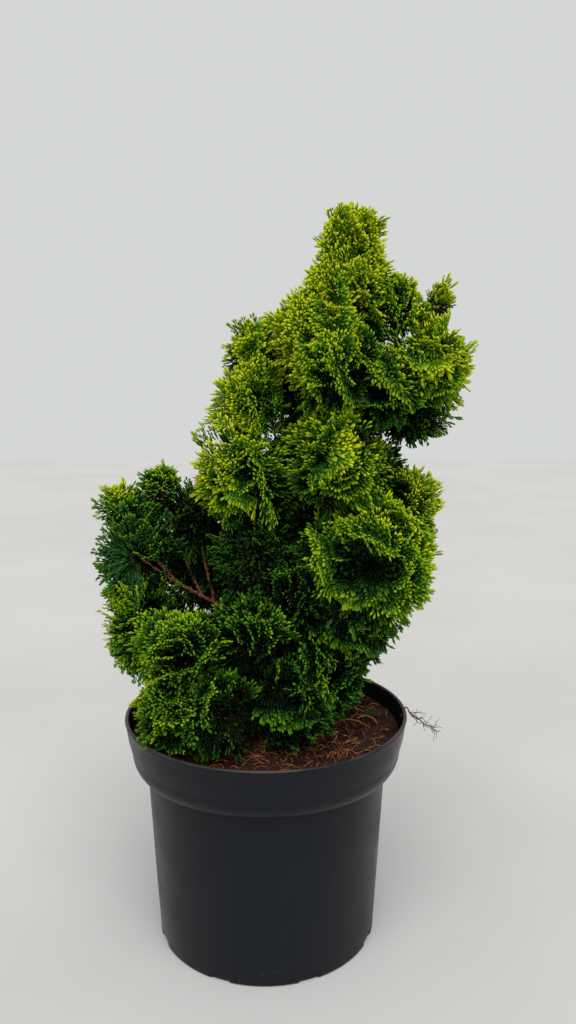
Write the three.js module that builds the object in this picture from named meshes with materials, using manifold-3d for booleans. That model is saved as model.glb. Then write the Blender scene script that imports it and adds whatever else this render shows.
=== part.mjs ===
// Dwarf hinoki cypress, container grown, in a round black nursery pot.
//
// A leaning trunk rises from the compost to the tip of the crown. Boughs leave it on every side, and
// each mass of foliage grows on one stem: toothed fans of scale leaves on twigs round a small core.
// Millimetres, +Z up. The origin is the middle of the flat underside of the pot, +X is to the right
// of the plant's front and +Y runs from the front to the back.

import * as THREE from 'three';
import { mergeVertices } from 'three/addons/utils/BufferGeometryUtils.js';
import Module from 'manifold-3d';

const wasm = await Module();
wasm.setup();

// ---------------------------------------------------------------- driving dimensions

// Clearance left between two pieces that touch.
const GAP = 0.3;

// Pot: a 7.5 litre container with a deep collar.
const POT_HEIGHT = 210;
const RIM_RADIUS = 129;
const COLLAR_HEIGHT = 49;
const COLLAR_TOP_RADIUS = 126;
const COLLAR_FOOT_RADIUS = 123;
const COLLAR_CURVE = 18;
const COLLAR_STEPS = 3;
const BODY_TOP_RADIUS = 109.5;
const BODY_FOOT_RADIUS = 101;
const WALL = 2.6;
const FLOOR = 4;
const LIP = 3.4;
const FOOT_CHAMFER = 2.5;
const POT_SIDES = 32;
const DRAIN_COUNT = 8;
const DRAIN_WIDTH = 15;
const DRAIN_HEIGHT = 7;
const DRAIN_DEPTH = 1.6;

// Compost: its level under the rim, and how rough its top is.
const COMPOST_DROP = 14;
const COMPOST_ROUGHNESS = 2.2;
const COMPOST_RINGS = [26, 56, 88, 110];
const COMPOST_SEED = 19;
const LEVEL = POT_HEIGHT - COMPOST_DROP;

// Trunk: the height and the lean of its middle line, and its girth.
const TRUNK_LINE = [
  [LEVEL - 14, -14, 0],
  [LEVEL + 14, -10, 0],
  [303, 25, 3],
  [396, 51, 6],
  [498, 74, 8],
  [579, 78, 6],
  [644, 69, 5],
];
const TRUNK_FOOT_RADIUS = 9.5;
const TRUNK_TIP_RADIUS = 1.6;
const FLARE = 6.5;
const FLARE_HEIGHT = 15;
const FLARE_RIDGES = 4;
const FLARE_RIDGE_DEPTH = 0.2;
const TRUNK_SIDES = 12;
const TRUNK_STEPS = 18;
// Halvings of the trunk's length that find the point of it at a height.
const HALVINGS = 24;

// Boughs: every mass that sits further out than this has a bough of its own.
const BOUGH_REACH = 73;
const BOUGH_RADIUS = 1.9;
const BOUGH_RADIUS_PER_REACH = 0.006;
const BOUGH_TIP_RADIUS = 1.4;
const BRANCH_SHARE = 0.85;
const BOUGH_SIDES = 5;
const BOUGH_STEPS = 4;
const BOUGH_DROP = 0.42;
const BOUGH_SAG = 0.12;

// Stems: the woody end inside a mass, from the bough's tip to the middle of the mass. It is laid a
// little way into the bough and cut back from it.
const STEM_ENTRY = 0.62;
const LEAST_ENTRY = 0.1;
const STEM_LAP = 0.02;
const STEM_TIP_RADIUS = 1.1;
const STEM_SIDES = 5;
const STEM_STEPS = 2;

// Foliage: twigs that each widen into a toothed fan of scale leaves, round a small core. Core, twig
// roots and fans are shares of the mass's reach, and a fan's own parts are shares of its length.
// Most masses are dense. An open one has a small core, and its twigs show.
const DENSE = 0.85;
const OPEN = 0.42;
const OPEN_MASSES = ['right_shoot', 'right_under', 'left_mid_high'];
const CORE_JITTER = 0.15;
const CORE_ROOM = 0.9;
const TWIG_ROOT = 0.62;
const TWIG_LENGTH = 0.27;
const TWIG_HALF_WIDTH = 0.07;
const FAN_LEAN = THREE.MathUtils.degToRad(24);
const FAN_SWAY = THREE.MathUtils.degToRad(130);
const FAN_ROLL = THREE.MathUtils.degToRad(180);
const FAN_REACH = 1.12;
const FAN_REACH_JITTER = 0.1;
const FAN_HALF_ANGLE = THREE.MathUtils.degToRad(62);
const FAN_TEETH = 4;
const FAN_NOTCH = 0.74;
const FAN_MIDDLE = 0.58;
const FAN_THICKNESS = 0.09;
const FAN_CUP = 0.16;
const FAN_TRIES = [1, 0.8, 0.65];
const FAN_SPACING = 48;
const FEWEST_FANS = 6;
const LIGHT_LIFT = 22;
const DARKEST = -0.2;
const PLACES_PER_FAN = 9;
const DIRECTION_JITTER = 0.35;
const FIRST_SEED = 101;
const SEED_STEP = 37;
const GOLDEN_ANGLE = Math.PI * (3 - Math.sqrt(5));

// Foliage colours, from the yellow tips of the crown to the green of its shaded side.
const YELLOW = 0xa9b528;
const BRIGHT = 0x6f9a1f;
const GREEN = 0x3f7a1c;
const DEEP = 0x23551c;

// The masses of foliage: height over the pot's underside, bearing round the trunk in degrees (0 is
// +X, -90 is the front), reach from the trunk's middle line, and half sizes across, deep and tall.
// A mass can grow from the bough of another mass, part of the way along it.
const MASSES = [
  ['crown_tip', 630, 0, 4, 30, 30, 34, YELLOW],
  ['crown_neck', 583, -111, 20, 37, 36, 33, BRIGHT],
  ['upper_left', 543, -147, 50, 32, 38, 43, YELLOW],
  ['upper_front', 516, -108, 56, 29, 34, 41, BRIGHT],
  ['high_left', 532, 169, 90, 28, 30, 34, BRIGHT],
  ['right_shoulder', 573, -2, 35, 25, 33, 34, GREEN],
  ['right_high', 526, -14, 69, 38, 40, 35, YELLOW],
  ['right_shoot', 576, -4, 72, 16, 17, 25, BRIGHT, 'right_high', 0.72],
  ['right_under', 484, -3, 55, 36, 38, 25, DEEP],
  ['right_front', 506, -61, 55, 25, 30, 28, GREEN],
  ['mid_left_high', 488, -166, 88, 31, 35, 35, YELLOW],
  ['mid_left', 431, -155, 88, 40, 42, 38, BRIGHT],
  ['mid_front', 444, -94, 50, 35, 36, 42, BRIGHT],
  ['mid_right', 433, -11, 42, 27, 38, 32, GREEN],
  ['low_right_high', 402, -12, 73, 31, 38, 34, YELLOW],
  ['low_right', 355, -52, 80, 55, 52, 50, BRIGHT],
  ['right_inner', 345, 12, 62, 36, 34, 40, GREEN],
  ['low_right_under', 298, -31, 68, 36, 42, 33, GREEN],
  ['foot_right', 256, -42, 68, 34, 36, 34, GREEN],
  ['low_middle', 362, -150, 54, 40, 38, 46, DEEP],
  ['low_neck', 325, -101, 42, 28, 28, 33, DEEP],
  ['low_front', 290, -120, 62, 38, 38, 33, GREEN],
  ['left_fan', 352, 180, 153, 43, 36, 45, DEEP],
  ['left_high', 397, 180, 178, 26, 27, 20, YELLOW, 'left_fan', 0.75],
  ['left_mid_high', 412, 177, 150, 21, 26, 26, GREEN, 'left_fan', 0.6],
  ['left_inner', 389, 173, 114, 24, 29, 32, DEEP, 'left_fan', 0.5],
  ['left_low', 284, 179, 127, 35, 40, 43, GREEN, 'left_fan', 0.4],
  ['left_behind', 345, 161, 103, 37, 27, 40, DEEP],
  ['foot_left', 284, -144, 107, 37, 42, 34, BRIGHT],
  ['foot_left_low', 231, -136, 100, 38, 38, 34, BRIGHT],
  ['foot_front', 234, -111, 86, 30, 32, 36, GREEN],
  ['foot_middle', 232, -73, 66, 36, 34, 37, GREEN],
  ['back_top', 564, 85, 38, 35, 36, 40, BRIGHT],
  ['back_high', 491, 87, 52, 43, 43, 43, GREEN],
  ['back_high_left', 505, 136, 68, 36, 38, 41, GREEN],
  ['back_mid', 423, 112, 66, 45, 44, 44, DEEP],
  ['back_mid_right', 404, 59, 66, 45, 44, 43, GREEN],
  ['back_low_left', 326, 142, 98, 46, 47, 47, DEEP],
  ['back_low', 321, 98, 70, 48, 45, 47, DEEP],
  ['back_low_right', 305, 47, 76, 47, 46, 46, GREEN],
  ['back_foot_left', 242, 124, 67, 43, 40, 39, DEEP],
  ['back_foot_right', 238, 50, 69, 43, 40, 38, DEEP],
];

// ---------------------------------------------------------------- solids and random numbers

function seededRandom(seed) {
  const multiplier = 16807;
  const modulus = 2147483647;
  let state = seed;
  return () => {
    state = (state * multiplier) % modulus;
    return state / modulus;
  };
}

function solidOf(geometry) {
  geometry.deleteAttribute('normal');
  geometry.deleteAttribute('uv');
  const merged = mergeVertices(geometry);
  const vertProperties = new Float32Array(merged.attributes.position.array);
  const triVerts = new Uint32Array(merged.index.array);
  return new wasm.Manifold(new wasm.Mesh({ numProp: 3, vertProperties, triVerts }));
}

function geometryOf(solid) {
  const { vertProperties, triVerts } = solid.getMesh();
  const geometry = new THREE.BufferGeometry();
  geometry.setAttribute('position', new THREE.BufferAttribute(vertProperties, 3));
  geometry.setIndex(new THREE.BufferAttribute(triVerts, 1));
  return geometry;
}

function joined(solids) {
  return solids.reduce((whole, next) => whole.add(next));
}

// The largest body of a solid that a cut has left in several.
function largestBody(solid) {
  const bodies = solid.decompose();
  return bodies.reduce((best, body) => (body.volume() > best.volume() ? body : best));
}

function touches(first, second) {
  return !first.intersect(second).isEmpty();
}

// ---------------------------------------------------------------- limbs

// A stretch of another curve, from one share of its length to another.
class Stretch extends THREE.Curve {
  constructor(curve, from, to) {
    super();
    this.curve = curve;
    this.from = from;
    this.to = to;
  }

  getPoint(share) {
    return this.curve.getPointAt(THREE.MathUtils.lerp(this.from, this.to, share));
  }
}

// A closed tapering limb along a curve. grow makes it that much fatter and longer at both ends.
function limb({ curve, radius, sides, steps }, grow = 0) {
  const geometry = new THREE.CylinderGeometry(1, 1, 1, sides, steps);
  const frames = curve.computeFrenetFrames(steps);
  const position = geometry.attributes.position;
  const point = new THREE.Vector3();
  for (let i = 0; i < position.count; i += 1) {
    const share = position.getY(i) + 0.5;
    const step = Math.round(share * steps);
    const across = position.getX(i);
    const along = position.getZ(i);
    const girth = radius(share, Math.atan2(along, across)) + grow;
    point.copy(curve.getPointAt(share));
    point.addScaledVector(frames.binormals[step], across * girth);
    point.addScaledVector(frames.normals[step], along * girth);
    if (step === 0) point.addScaledVector(frames.tangents[step], -grow);
    if (step === steps) point.addScaledVector(frames.tangents[step], grow);
    position.setXYZ(i, point.x, point.y, point.z);
  }
  return solidOf(geometry);
}

const trunkCurve = new THREE.CatmullRomCurve3(
  TRUNK_LINE.map(([height, x, y]) => new THREE.Vector3(x, y, height)),
);

// The point of the trunk's middle line at a height.
function trunkAt(height) {
  let low = 0;
  let high = 1;
  for (let i = 0; i < HALVINGS; i += 1) {
    const middle = (low + high) / 2;
    if (trunkCurve.getPointAt(middle).z < height) low = middle;
    else high = middle;
  }
  return trunkCurve.getPointAt(low);
}

function trunkRadius(share, angle) {
  const height = Math.max(trunkCurve.getPointAt(share).z - LEVEL, 0);
  const girth = THREE.MathUtils.lerp(TRUNK_FOOT_RADIUS, TRUNK_TIP_RADIUS, share);
  const flare = Math.exp(-height / FLARE_HEIGHT);
  const ridge = 1 + FLARE_RIDGE_DEPTH * flare * Math.cos(FLARE_RIDGES * angle);
  return (girth + FLARE * flare) * ridge;
}

const trunkLimb = { curve: trunkCurve, radius: trunkRadius, sides: TRUNK_SIDES, steps: TRUNK_STEPS };

function trunkSolid() {
  const ground = new THREE.BoxGeometry(2 * RIM_RADIUS, 2 * RIM_RADIUS, LEVEL);
  ground.translate(0, 0, LEVEL / 2 + GAP);
  return limb(trunkLimb).subtract(solidOf(ground));
}

// ---------------------------------------------------------------- pot and compost

// The quarter round that leads from the body out to the foot of the collar, moved in by an inset.
function collarCurve(inset) {
  const shoulder = POT_HEIGHT - COLLAR_HEIGHT;
  const overhang = COLLAR_FOOT_RADIUS - BODY_TOP_RADIUS;
  return Array.from({ length: COLLAR_STEPS + 1 }, (_, step) => {
    const angle = (step / COLLAR_STEPS) * (Math.PI / 2);
    const radius = BODY_TOP_RADIUS + overhang * Math.sin(angle) - inset;
    return [radius, shoulder + inset + COLLAR_CURVE * (1 - Math.cos(angle))];
  });
}

// Half outline of the pot's inner face, from its floor up to the lip, moved in by a clearance.
function innerOutline(clearance) {
  return [
    [BODY_FOOT_RADIUS - WALL - clearance, FLOOR + clearance],
    ...collarCurve(WALL + clearance),
    [RIM_RADIUS - LIP - clearance, POT_HEIGHT - LIP / 2],
  ];
}

// The turned wall and floor, made thicker by a clearance.
function turnedPot(clearance) {
  const outline = [
    [0, 0],
    [BODY_FOOT_RADIUS - FOOT_CHAMFER, 0],
    [BODY_FOOT_RADIUS, FOOT_CHAMFER],
    ...collarCurve(-clearance),
    [COLLAR_TOP_RADIUS + clearance, POT_HEIGHT - 4 * LIP],
    [RIM_RADIUS + clearance - LIP / 4, POT_HEIGHT - 2 * LIP],
    [RIM_RADIUS + clearance, POT_HEIGHT - LIP / 2],
    [RIM_RADIUS + clearance - LIP / 3, POT_HEIGHT + clearance],
    [RIM_RADIUS - clearance - (LIP * 3) / 4, POT_HEIGHT + clearance],
    ...innerOutline(clearance).reverse(),
    [0, FLOOR],
  ];
  const points = outline.map(([radius, height]) => new THREE.Vector2(radius, height));
  const turned = new THREE.LatheGeometry(points, POT_SIDES);
  turned.rotateX(Math.PI / 2);
  return solidOf(turned);
}

function potSolid() {
  let pot = turnedPot(0);
  for (let i = 0; i < DRAIN_COUNT; i += 1) {
    const drain = new THREE.BoxGeometry(2 * DRAIN_DEPTH, DRAIN_WIDTH, 2 * DRAIN_HEIGHT);
    drain.translate(BODY_FOOT_RADIUS, 0, 0);
    drain.rotateZ(((i + 0.5) * 2 * Math.PI) / DRAIN_COUNT);
    pot = pot.subtract(solidOf(drain));
  }
  return pot;
}

function compostSolid() {
  const random = seededRandom(COMPOST_SEED);
  const wall = innerOutline(GAP);
  const [lip] = wall.slice(-1);
  const lower = wall.slice(0, -1);
  const [belly] = lower.slice(-1);
  const rise = (LEVEL - belly[1]) / (lip[1] - belly[1]);
  const edge = new THREE.Vector2(THREE.MathUtils.lerp(belly[0], lip[0], rise), LEVEL);
  const rings = COMPOST_RINGS.map((radius) => new THREE.Vector2(radius, LEVEL)).reverse();
  const points = [
    new THREE.Vector2(0, FLOOR + GAP),
    ...lower.map(([radius, height]) => new THREE.Vector2(radius, height)),
    edge,
    ...rings,
    new THREE.Vector2(0, LEVEL),
  ];
  const turned = new THREE.LatheGeometry(points, POT_SIDES);
  turned.rotateX(Math.PI / 2);
  turned.deleteAttribute('normal');
  turned.deleteAttribute('uv');
  const merged = mergeVertices(turned);
  const position = merged.attributes.position;
  for (let i = 0; i < position.count; i += 1) {
    const radius = Math.hypot(position.getX(i), position.getY(i));
    const onRing = rings.slice(0, -1).some((ring) => Math.abs(radius - ring.x) < GAP);
    if (onRing) position.setZ(i, LEVEL + (random() - 0.5) * 2 * COMPOST_ROUGHNESS);
  }
  return solidOf(merged);
}

// ---------------------------------------------------------------- layout of boughs and stems

function boughRadius(mass, share) {
  return THREE.MathUtils.lerp(mass.thick, BOUGH_TIP_RADIUS, Math.min(share, 1));
}

// Places each mass and works out the limb that carries it, split where it enters the mass. A bough
// that grows from another one starts thinner than it.
function layOut(rows) {
  const placed = new Map();
  rows.forEach(([name, height, bearing, reach, across, deep, tall, colour, parent, share], index) => {
    const angle = THREE.MathUtils.degToRad(bearing);
    const centre = trunkAt(height);
    centre.x += reach * Math.cos(angle);
    centre.y += reach * Math.sin(angle);
    centre.z = height;
    const half = new THREE.Vector3(across, deep, tall);
    const core = OPEN_MASSES.includes(name) ? OPEN : DENSE;
    const carrier = placed.get(parent);
    const start = carrier
      ? carrier.path.getPointAt(share)
      : trunkAt(Math.max(height - reach * BOUGH_DROP, LEVEL + FLARE_HEIGHT));
    const elbow = start.clone().lerp(centre, 0.5);
    elbow.z -= start.distanceTo(centre) * BOUGH_SAG;
    const path = new THREE.QuadraticBezierCurve3(start, elbow, centre);
    const run = start.distanceTo(centre);
    const entry = Math.max(1 - (STEM_ENTRY * Math.min(across, deep, tall)) / run, LEAST_ENTRY);
    const hasBough = reach > BOUGH_REACH;
    const thick = carrier
      ? Math.max(BRANCH_SHARE * boughRadius(carrier, share / carrier.entry), BOUGH_TIP_RADIUS)
      : BOUGH_RADIUS + BOUGH_RADIUS_PER_REACH * reach;
    const light = new THREE.Vector3(reach * Math.cos(angle), reach * Math.sin(angle), LIGHT_LIFT);
    light.normalize();
    placed.set(name, { name, index, centre, half, light, core, colour, path, entry, hasBough, thick });
  });
  return [...placed.values()];
}

function boughLimb(mass) {
  return {
    curve: new Stretch(mass.path, 0, mass.entry),
    radius: (share) => boughRadius(mass, share),
    sides: BOUGH_SIDES,
    steps: BOUGH_STEPS,
  };
}

function stemLimb(mass) {
  const from = mass.hasBough ? mass.entry - STEM_LAP : 0;
  const foot = mass.hasBough ? BOUGH_TIP_RADIUS - GAP / 2 : BOUGH_TIP_RADIUS;
  return {
    curve: new Stretch(mass.path, from, 1),
    radius: (share) => THREE.MathUtils.lerp(foot, STEM_TIP_RADIUS, share),
    sides: STEM_SIDES,
    steps: STEM_STEPS,
  };
}

// ---------------------------------------------------------------- foliage

// How far a mass reaches from its centre in a direction.
function reachOf(mass, direction) {
  return 1 / direction.clone().divide(mass.half).length();
}

// The planes that part a mass from its neighbours. Its space is the inner side of all of them.
function spaceOf(mass, masses) {
  return masses.filter((other) => other !== mass).map((other) => {
    const normal = other.centre.clone().sub(mass.centre);
    const distance = normal.length();
    normal.normalize();
    const own = reachOf(mass, normal);
    const theirs = reachOf(other, normal);
    const wall = (distance * own) / (own + theirs) - GAP / 2;
    const point = mass.centre.clone().addScaledVector(normal, wall);
    return new THREE.Plane().setFromNormalAndCoplanarPoint(normal, point);
  });
}

function isInside(geometry, space) {
  const position = geometry.attributes.position;
  const point = new THREE.Vector3();
  for (let i = 0; i < position.count; i += 1) {
    point.fromBufferAttribute(position, i);
    if (space.some((plane) => plane.distanceToPoint(point) > 0)) return false;
  }
  return true;
}

// A lumpy core whose points are drawn in towards its centre until they lie in the mass's space.
function coreGeometry(mass, space, random) {
  const geometry = new THREE.IcosahedronGeometry(1, 0);
  geometry.deleteAttribute('normal');
  geometry.deleteAttribute('uv');
  const merged = mergeVertices(geometry);
  const position = merged.attributes.position;
  const ray = new THREE.Vector3();
  const point = new THREE.Vector3();
  for (let i = 0; i < position.count; i += 1) {
    ray.fromBufferAttribute(position, i).multiply(mass.half);
    ray.multiplyScalar(mass.core * (1 + CORE_JITTER * (2 * random() - 1)));
    let share = 1;
    for (const plane of space) {
      const inner = -plane.distanceToPoint(mass.centre);
      const outward = plane.normal.dot(ray);
      if (outward > 0) share = Math.min(share, (CORE_ROOM * inner) / outward);
    }
    point.copy(mass.centre).addScaledVector(ray, share);
    position.setXYZ(i, point.x, point.y, point.z);
  }
  return merged;
}

// A twig that widens into a cupped fan of scale leaves: a knife-edged blade with a toothed rim. It
// grows from the origin along +X, spreads along Y and is cupped towards +Z. Only a twig that shows
// has a stalk, and a fan that is rooted in a dense core widens straight away.
function fanGeometry(length, hasStalk) {
  const rimPoints = 2 * FAN_TEETH - 1;
  const stalkPoints = hasStalk ? 1 : 0;
  const outline = 1 + 2 * stalkPoints + rimPoints;
  const geometry = new THREE.SphereGeometry(1, outline, 2);
  const position = geometry.attributes.position;
  for (let i = 0; i < position.count; i += 1) {
    const row = Math.floor(i / (outline + 1));
    const column = (i % (outline + 1)) % outline;
    const place = column - 1 - stalkPoints;
    const point = new THREE.Vector3();
    if (row !== 1) {
      point.set(FAN_MIDDLE, 0, (1 - row) * FAN_THICKNESS * 0.5);
    } else if (place >= 0 && place < rimPoints) {
      const angle = ((2 * place) / (rimPoints - 1) - 1) * FAN_HALF_ANGLE;
      const radius = place % 2 === 0 ? 1 : FAN_NOTCH;
      point.set(radius * Math.cos(angle), radius * Math.sin(angle), FAN_CUP * radius);
    } else if (column > 0) {
      point.set(TWIG_LENGTH, Math.sign(place) * TWIG_HALF_WIDTH, 0);
    }
    position.setXYZ(i, point.x * length, point.y * length, point.z * length);
  }
  return geometry;
}

// Halving steps that fill the range from 0 to 1 evenly, however many of them are taken.
function halving(index) {
  let share = 0;
  for (let part = 0.5, rest = index; rest > 0; part /= 2, rest = Math.floor(rest / 2)) {
    share += part * (rest % 2);
  }
  return share;
}

// Directions spread evenly round a mass, each a little off its place.
function growthDirection(index, random) {
  const height = 1 - 2 * halving(index);
  const turn = index * GOLDEN_ANGLE + (random() - 0.5) * DIRECTION_JITTER;
  const round = Math.sqrt(1 - height * height);
  const direction = new THREE.Vector3(round * Math.cos(turn), round * Math.sin(turn), height);
  direction.z += (random() - 0.5) * DIRECTION_JITTER;
  return direction.normalize();
}

// The axes of a fan: its growth leans up from the direction it stands in, and its hollow face looks
// outwards. An open mass's fans stand straight out.
function fanAxes(mass, direction, random) {
  const lean = mass.core === OPEN ? 0 : FAN_LEAN;
  const side = new THREE.Vector3(-direction.y, direction.x, 0).normalize();
  side.applyAxisAngle(direction, (random() - 0.5) * FAN_SWAY);
  const climb = new THREE.Vector3().crossVectors(direction, side);
  const growth = direction.clone().multiplyScalar(Math.cos(lean)).addScaledVector(climb, Math.sin(lean));
  const hollow = new THREE.Vector3().crossVectors(growth, side);
  const roll = (random() - 0.5) * FAN_ROLL;
  side.applyAxisAngle(growth, roll);
  hollow.applyAxisAngle(growth, roll);
  return new THREE.Matrix4().makeBasis(growth, side, hollow);
}

// How far a fan can grow from its root before its tip reaches a share of the mass's own size.
function growthRoom(mass, root, growth, share) {
  const from = root.clone().sub(mass.centre).divide(mass.half);
  const step = growth.clone().divide(mass.half);
  const along = from.dot(step);
  const square = step.lengthSq();
  return (Math.sqrt(along ** 2 - square * (from.lengthSq() - share ** 2)) - along) / square;
}

function massSolid(mass, space, keepOut) {
  const random = seededRandom(FIRST_SEED + SEED_STEP * mass.index);
  const girth = (mass.half.x * mass.half.y + mass.half.y * mass.half.z + mass.half.z * mass.half.x) / 3;
  const wanted = Math.max(Math.round((4 * Math.PI * girth) / FAN_SPACING ** 2), FEWEST_FANS);
  const twigRoot = mass.core * TWIG_ROOT;
  const wood = [solidOf(coreGeometry(mass, space, random)), limb(stemLimb(mass))];
  const fans = [];
  for (let place = 1; place < wanted * PLACES_PER_FAN && fans.length < wanted; place += 1) {
    const direction = growthDirection(place, random);
    if (direction.dot(mass.light) < DARKEST) continue;
    const axes = fanAxes(mass, direction, random);
    const growth = new THREE.Vector3().setFromMatrixColumn(axes, 0);
    const root = mass.centre.clone().addScaledVector(direction, reachOf(mass, direction) * twigRoot);
    const stretch = FAN_REACH + (random() - 0.5) * FAN_REACH_JITTER;
    const length = growthRoom(mass, root, growth, stretch);
    for (const share of FAN_TRIES) {
      const fan = fanGeometry(length * share, mass.core === OPEN);
      fan.applyMatrix4(axes);
      fan.translate(root.x, root.y, root.z);
      if (!isInside(fan, space)) continue;
      const solid = solidOf(fan);
      if (touches(solid, keepOut) || fans.some((other) => touches(solid, other))) continue;
      fans.push(solid);
      break;
    }
  }
  return largestBody(joined([...wood, ...fans]).subtract(keepOut));
}

// ---------------------------------------------------------------- the plant in its pot

const plant = new THREE.Group();

function addPiece(name, solid, colour, roughness) {
  const material = new THREE.MeshStandardMaterial({ color: colour, roughness, metalness: 0 });
  const mesh = new THREE.Mesh(geometryOf(solid), material);
  mesh.name = name;
  plant.add(mesh);
}

const pot = potSolid();
const compost = compostSolid();
const trunk = trunkSolid();
addPiece('pot', pot, 0x2b3034, 0.45);
addPiece('compost', compost, 0x3a2012, 0.95);
addPiece('trunk', trunk, 0x5b3420, 0.85);

const masses = layOut(MASSES);
const container = [turnedPot(GAP), compost.translate([0, 0, GAP])];
const laidLimbs = [limb(trunkLimb, GAP)];

// Each bough leaves room for the trunk and for the limbs laid before it.
for (const mass of masses.filter((each) => each.hasBough)) {
  const bough = largestBody(limb(boughLimb(mass)).subtract(joined([...container, ...laidLimbs])));
  addPiece(`${mass.name}_bough`, bough, 0x7a4426, 0.85);
  laidLimbs.push(limb(boughLimb(mass), GAP));
}

const stems = new Map(masses.map((mass) => [mass, limb(stemLimb(mass), GAP)]));

for (const mass of masses) {
  const others = masses.filter((each) => each !== mass).map((each) => stems.get(each));
  const keepOut = joined([...container, ...laidLimbs, ...others]);
  addPiece(mass.name, massSolid(mass, spaceOf(mass, masses), keepOut), mass.colour, 0.7);
}

export default plant;
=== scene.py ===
"""A dwarf hinoki cypress in its nursery pot: bark, foliage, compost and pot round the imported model."""

import math
import bmesh
import bpy
import numpy as np
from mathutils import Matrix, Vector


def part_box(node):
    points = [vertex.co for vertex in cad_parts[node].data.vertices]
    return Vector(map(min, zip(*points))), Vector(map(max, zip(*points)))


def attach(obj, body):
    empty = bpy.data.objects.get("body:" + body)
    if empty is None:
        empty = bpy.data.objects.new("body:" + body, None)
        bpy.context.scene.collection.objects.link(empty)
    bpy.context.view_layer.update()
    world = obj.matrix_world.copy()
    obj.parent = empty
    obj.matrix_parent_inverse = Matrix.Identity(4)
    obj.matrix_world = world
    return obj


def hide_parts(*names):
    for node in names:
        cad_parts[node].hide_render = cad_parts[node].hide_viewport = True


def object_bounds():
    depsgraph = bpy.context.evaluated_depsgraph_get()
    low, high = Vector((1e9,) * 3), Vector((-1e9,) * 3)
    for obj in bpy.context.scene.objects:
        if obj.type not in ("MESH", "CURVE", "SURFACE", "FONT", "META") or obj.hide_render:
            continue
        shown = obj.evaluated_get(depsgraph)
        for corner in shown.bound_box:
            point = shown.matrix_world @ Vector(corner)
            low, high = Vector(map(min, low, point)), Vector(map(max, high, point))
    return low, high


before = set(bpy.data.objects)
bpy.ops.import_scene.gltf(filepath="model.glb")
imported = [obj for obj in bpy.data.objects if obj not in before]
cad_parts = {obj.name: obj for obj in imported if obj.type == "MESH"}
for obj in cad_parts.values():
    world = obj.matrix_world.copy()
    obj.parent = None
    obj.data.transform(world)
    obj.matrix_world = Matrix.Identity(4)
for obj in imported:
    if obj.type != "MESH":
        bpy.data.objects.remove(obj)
cad_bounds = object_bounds()


# ---------------------------------------------------------------- pot
# One moulding of black polypropylene: a tapered body, a quarter-round shoulder, an upright collar and
# a rolled lip. It stands on its flat underside, which has eight drainage notches round its edge.

MM = 0.001
POT_SIDES = 256
RIM_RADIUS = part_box("pot")[1][0]
POT_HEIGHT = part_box("pot")[1][2]
COLLAR_TOP_RADIUS = 126 * MM
COLLAR_FOOT_RADIUS = 123 * MM
COLLAR_HEIGHT = 49 * MM
COLLAR_STEP = 0.3 * MM
# How the collar flares into the lip: how far out each ring stands, and how many lips under the top.
COLLAR_FLARE = [(0.4 * MM, 5), (1.3 * MM, 3)]
LIP = 3.4 * MM
LIP_UNDERCUT = 0.7 * MM
SHOULDER_RISE = 18 * MM
SHOULDER = POT_HEIGHT - COLLAR_HEIGHT
BODY_TOP_RADIUS = 109.5 * MM
BODY_FOOT_RADIUS = 101 * MM
BODY_RINGS = (0.35, 0.7)
POT_WALL = 2.6 * MM
POT_FLOOR = 4 * MM
FOOT_ROUND = 2.5 * MM
ROUND_STEPS = 10
FOOT_ROUND_STEPS = 4
DRAIN_COUNT = 8
DRAIN_WIDTH = 15 * MM
DRAIN_HEIGHT = 7 * MM
DRAIN_DEPTH = 1.5 * MM
DRAIN_STEP = 0.4 * MM
SHARP_EDGE = math.radians(35)
SAME_PLACE = 0.01 * MM
RIM_DIRT_DEPTH = 2 * MM
SPLASH_HEIGHT = 26 * MM
PLASTIC = (0.0040, 0.0060, 0.0088, 1)
PLASTIC_WORN = (0.0072, 0.0098, 0.0132, 1)
POT_DIRT = (0.16, 0.115, 0.075, 1)


def arc(centre, radii, start, end, steps):
    """Points (radius, height) on an ellipse, from one angle in degrees to another."""
    angles = np.radians(np.linspace(start, end, steps + 1))
    return [(centre[0] + radii[0] * math.cos(a), centre[1] + radii[1] * math.sin(a)) for a in angles]


def shoulder_curve(inset):
    """The quarter round from the body out to the foot of the collar, moved in by an inset."""
    overhang = COLLAR_FOOT_RADIUS - BODY_TOP_RADIUS
    centre = (BODY_TOP_RADIUS - inset, SHOULDER + SHOULDER_RISE + inset)
    return arc(centre, (overhang, SHOULDER_RISE), -90, 0, ROUND_STEPS)


def mesh_piece(name, points, faces, material=None):
    """An object at the origin from an array of points and faces that all have as many corners."""
    points = np.asarray(points, dtype=np.float32)
    faces = np.asarray(faces, dtype=np.int32)
    mesh = bpy.data.meshes.new(name)
    mesh.vertices.add(len(points))
    mesh.vertices.foreach_set("co", points.ravel())
    mesh.loops.add(faces.size)
    mesh.loops.foreach_set("vertex_index", faces.ravel())
    mesh.polygons.add(len(faces))
    mesh.polygons.foreach_set("loop_start", np.arange(len(faces), dtype=np.int32) * faces.shape[1])
    mesh.polygons.foreach_set("use_smooth", np.full(len(faces), True))
    mesh.update(calc_edges=True)
    piece = bpy.data.objects.new(name, mesh)
    bpy.context.scene.collection.objects.link(piece)
    if material:
        mesh.materials.append(material)
    return piece


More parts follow.
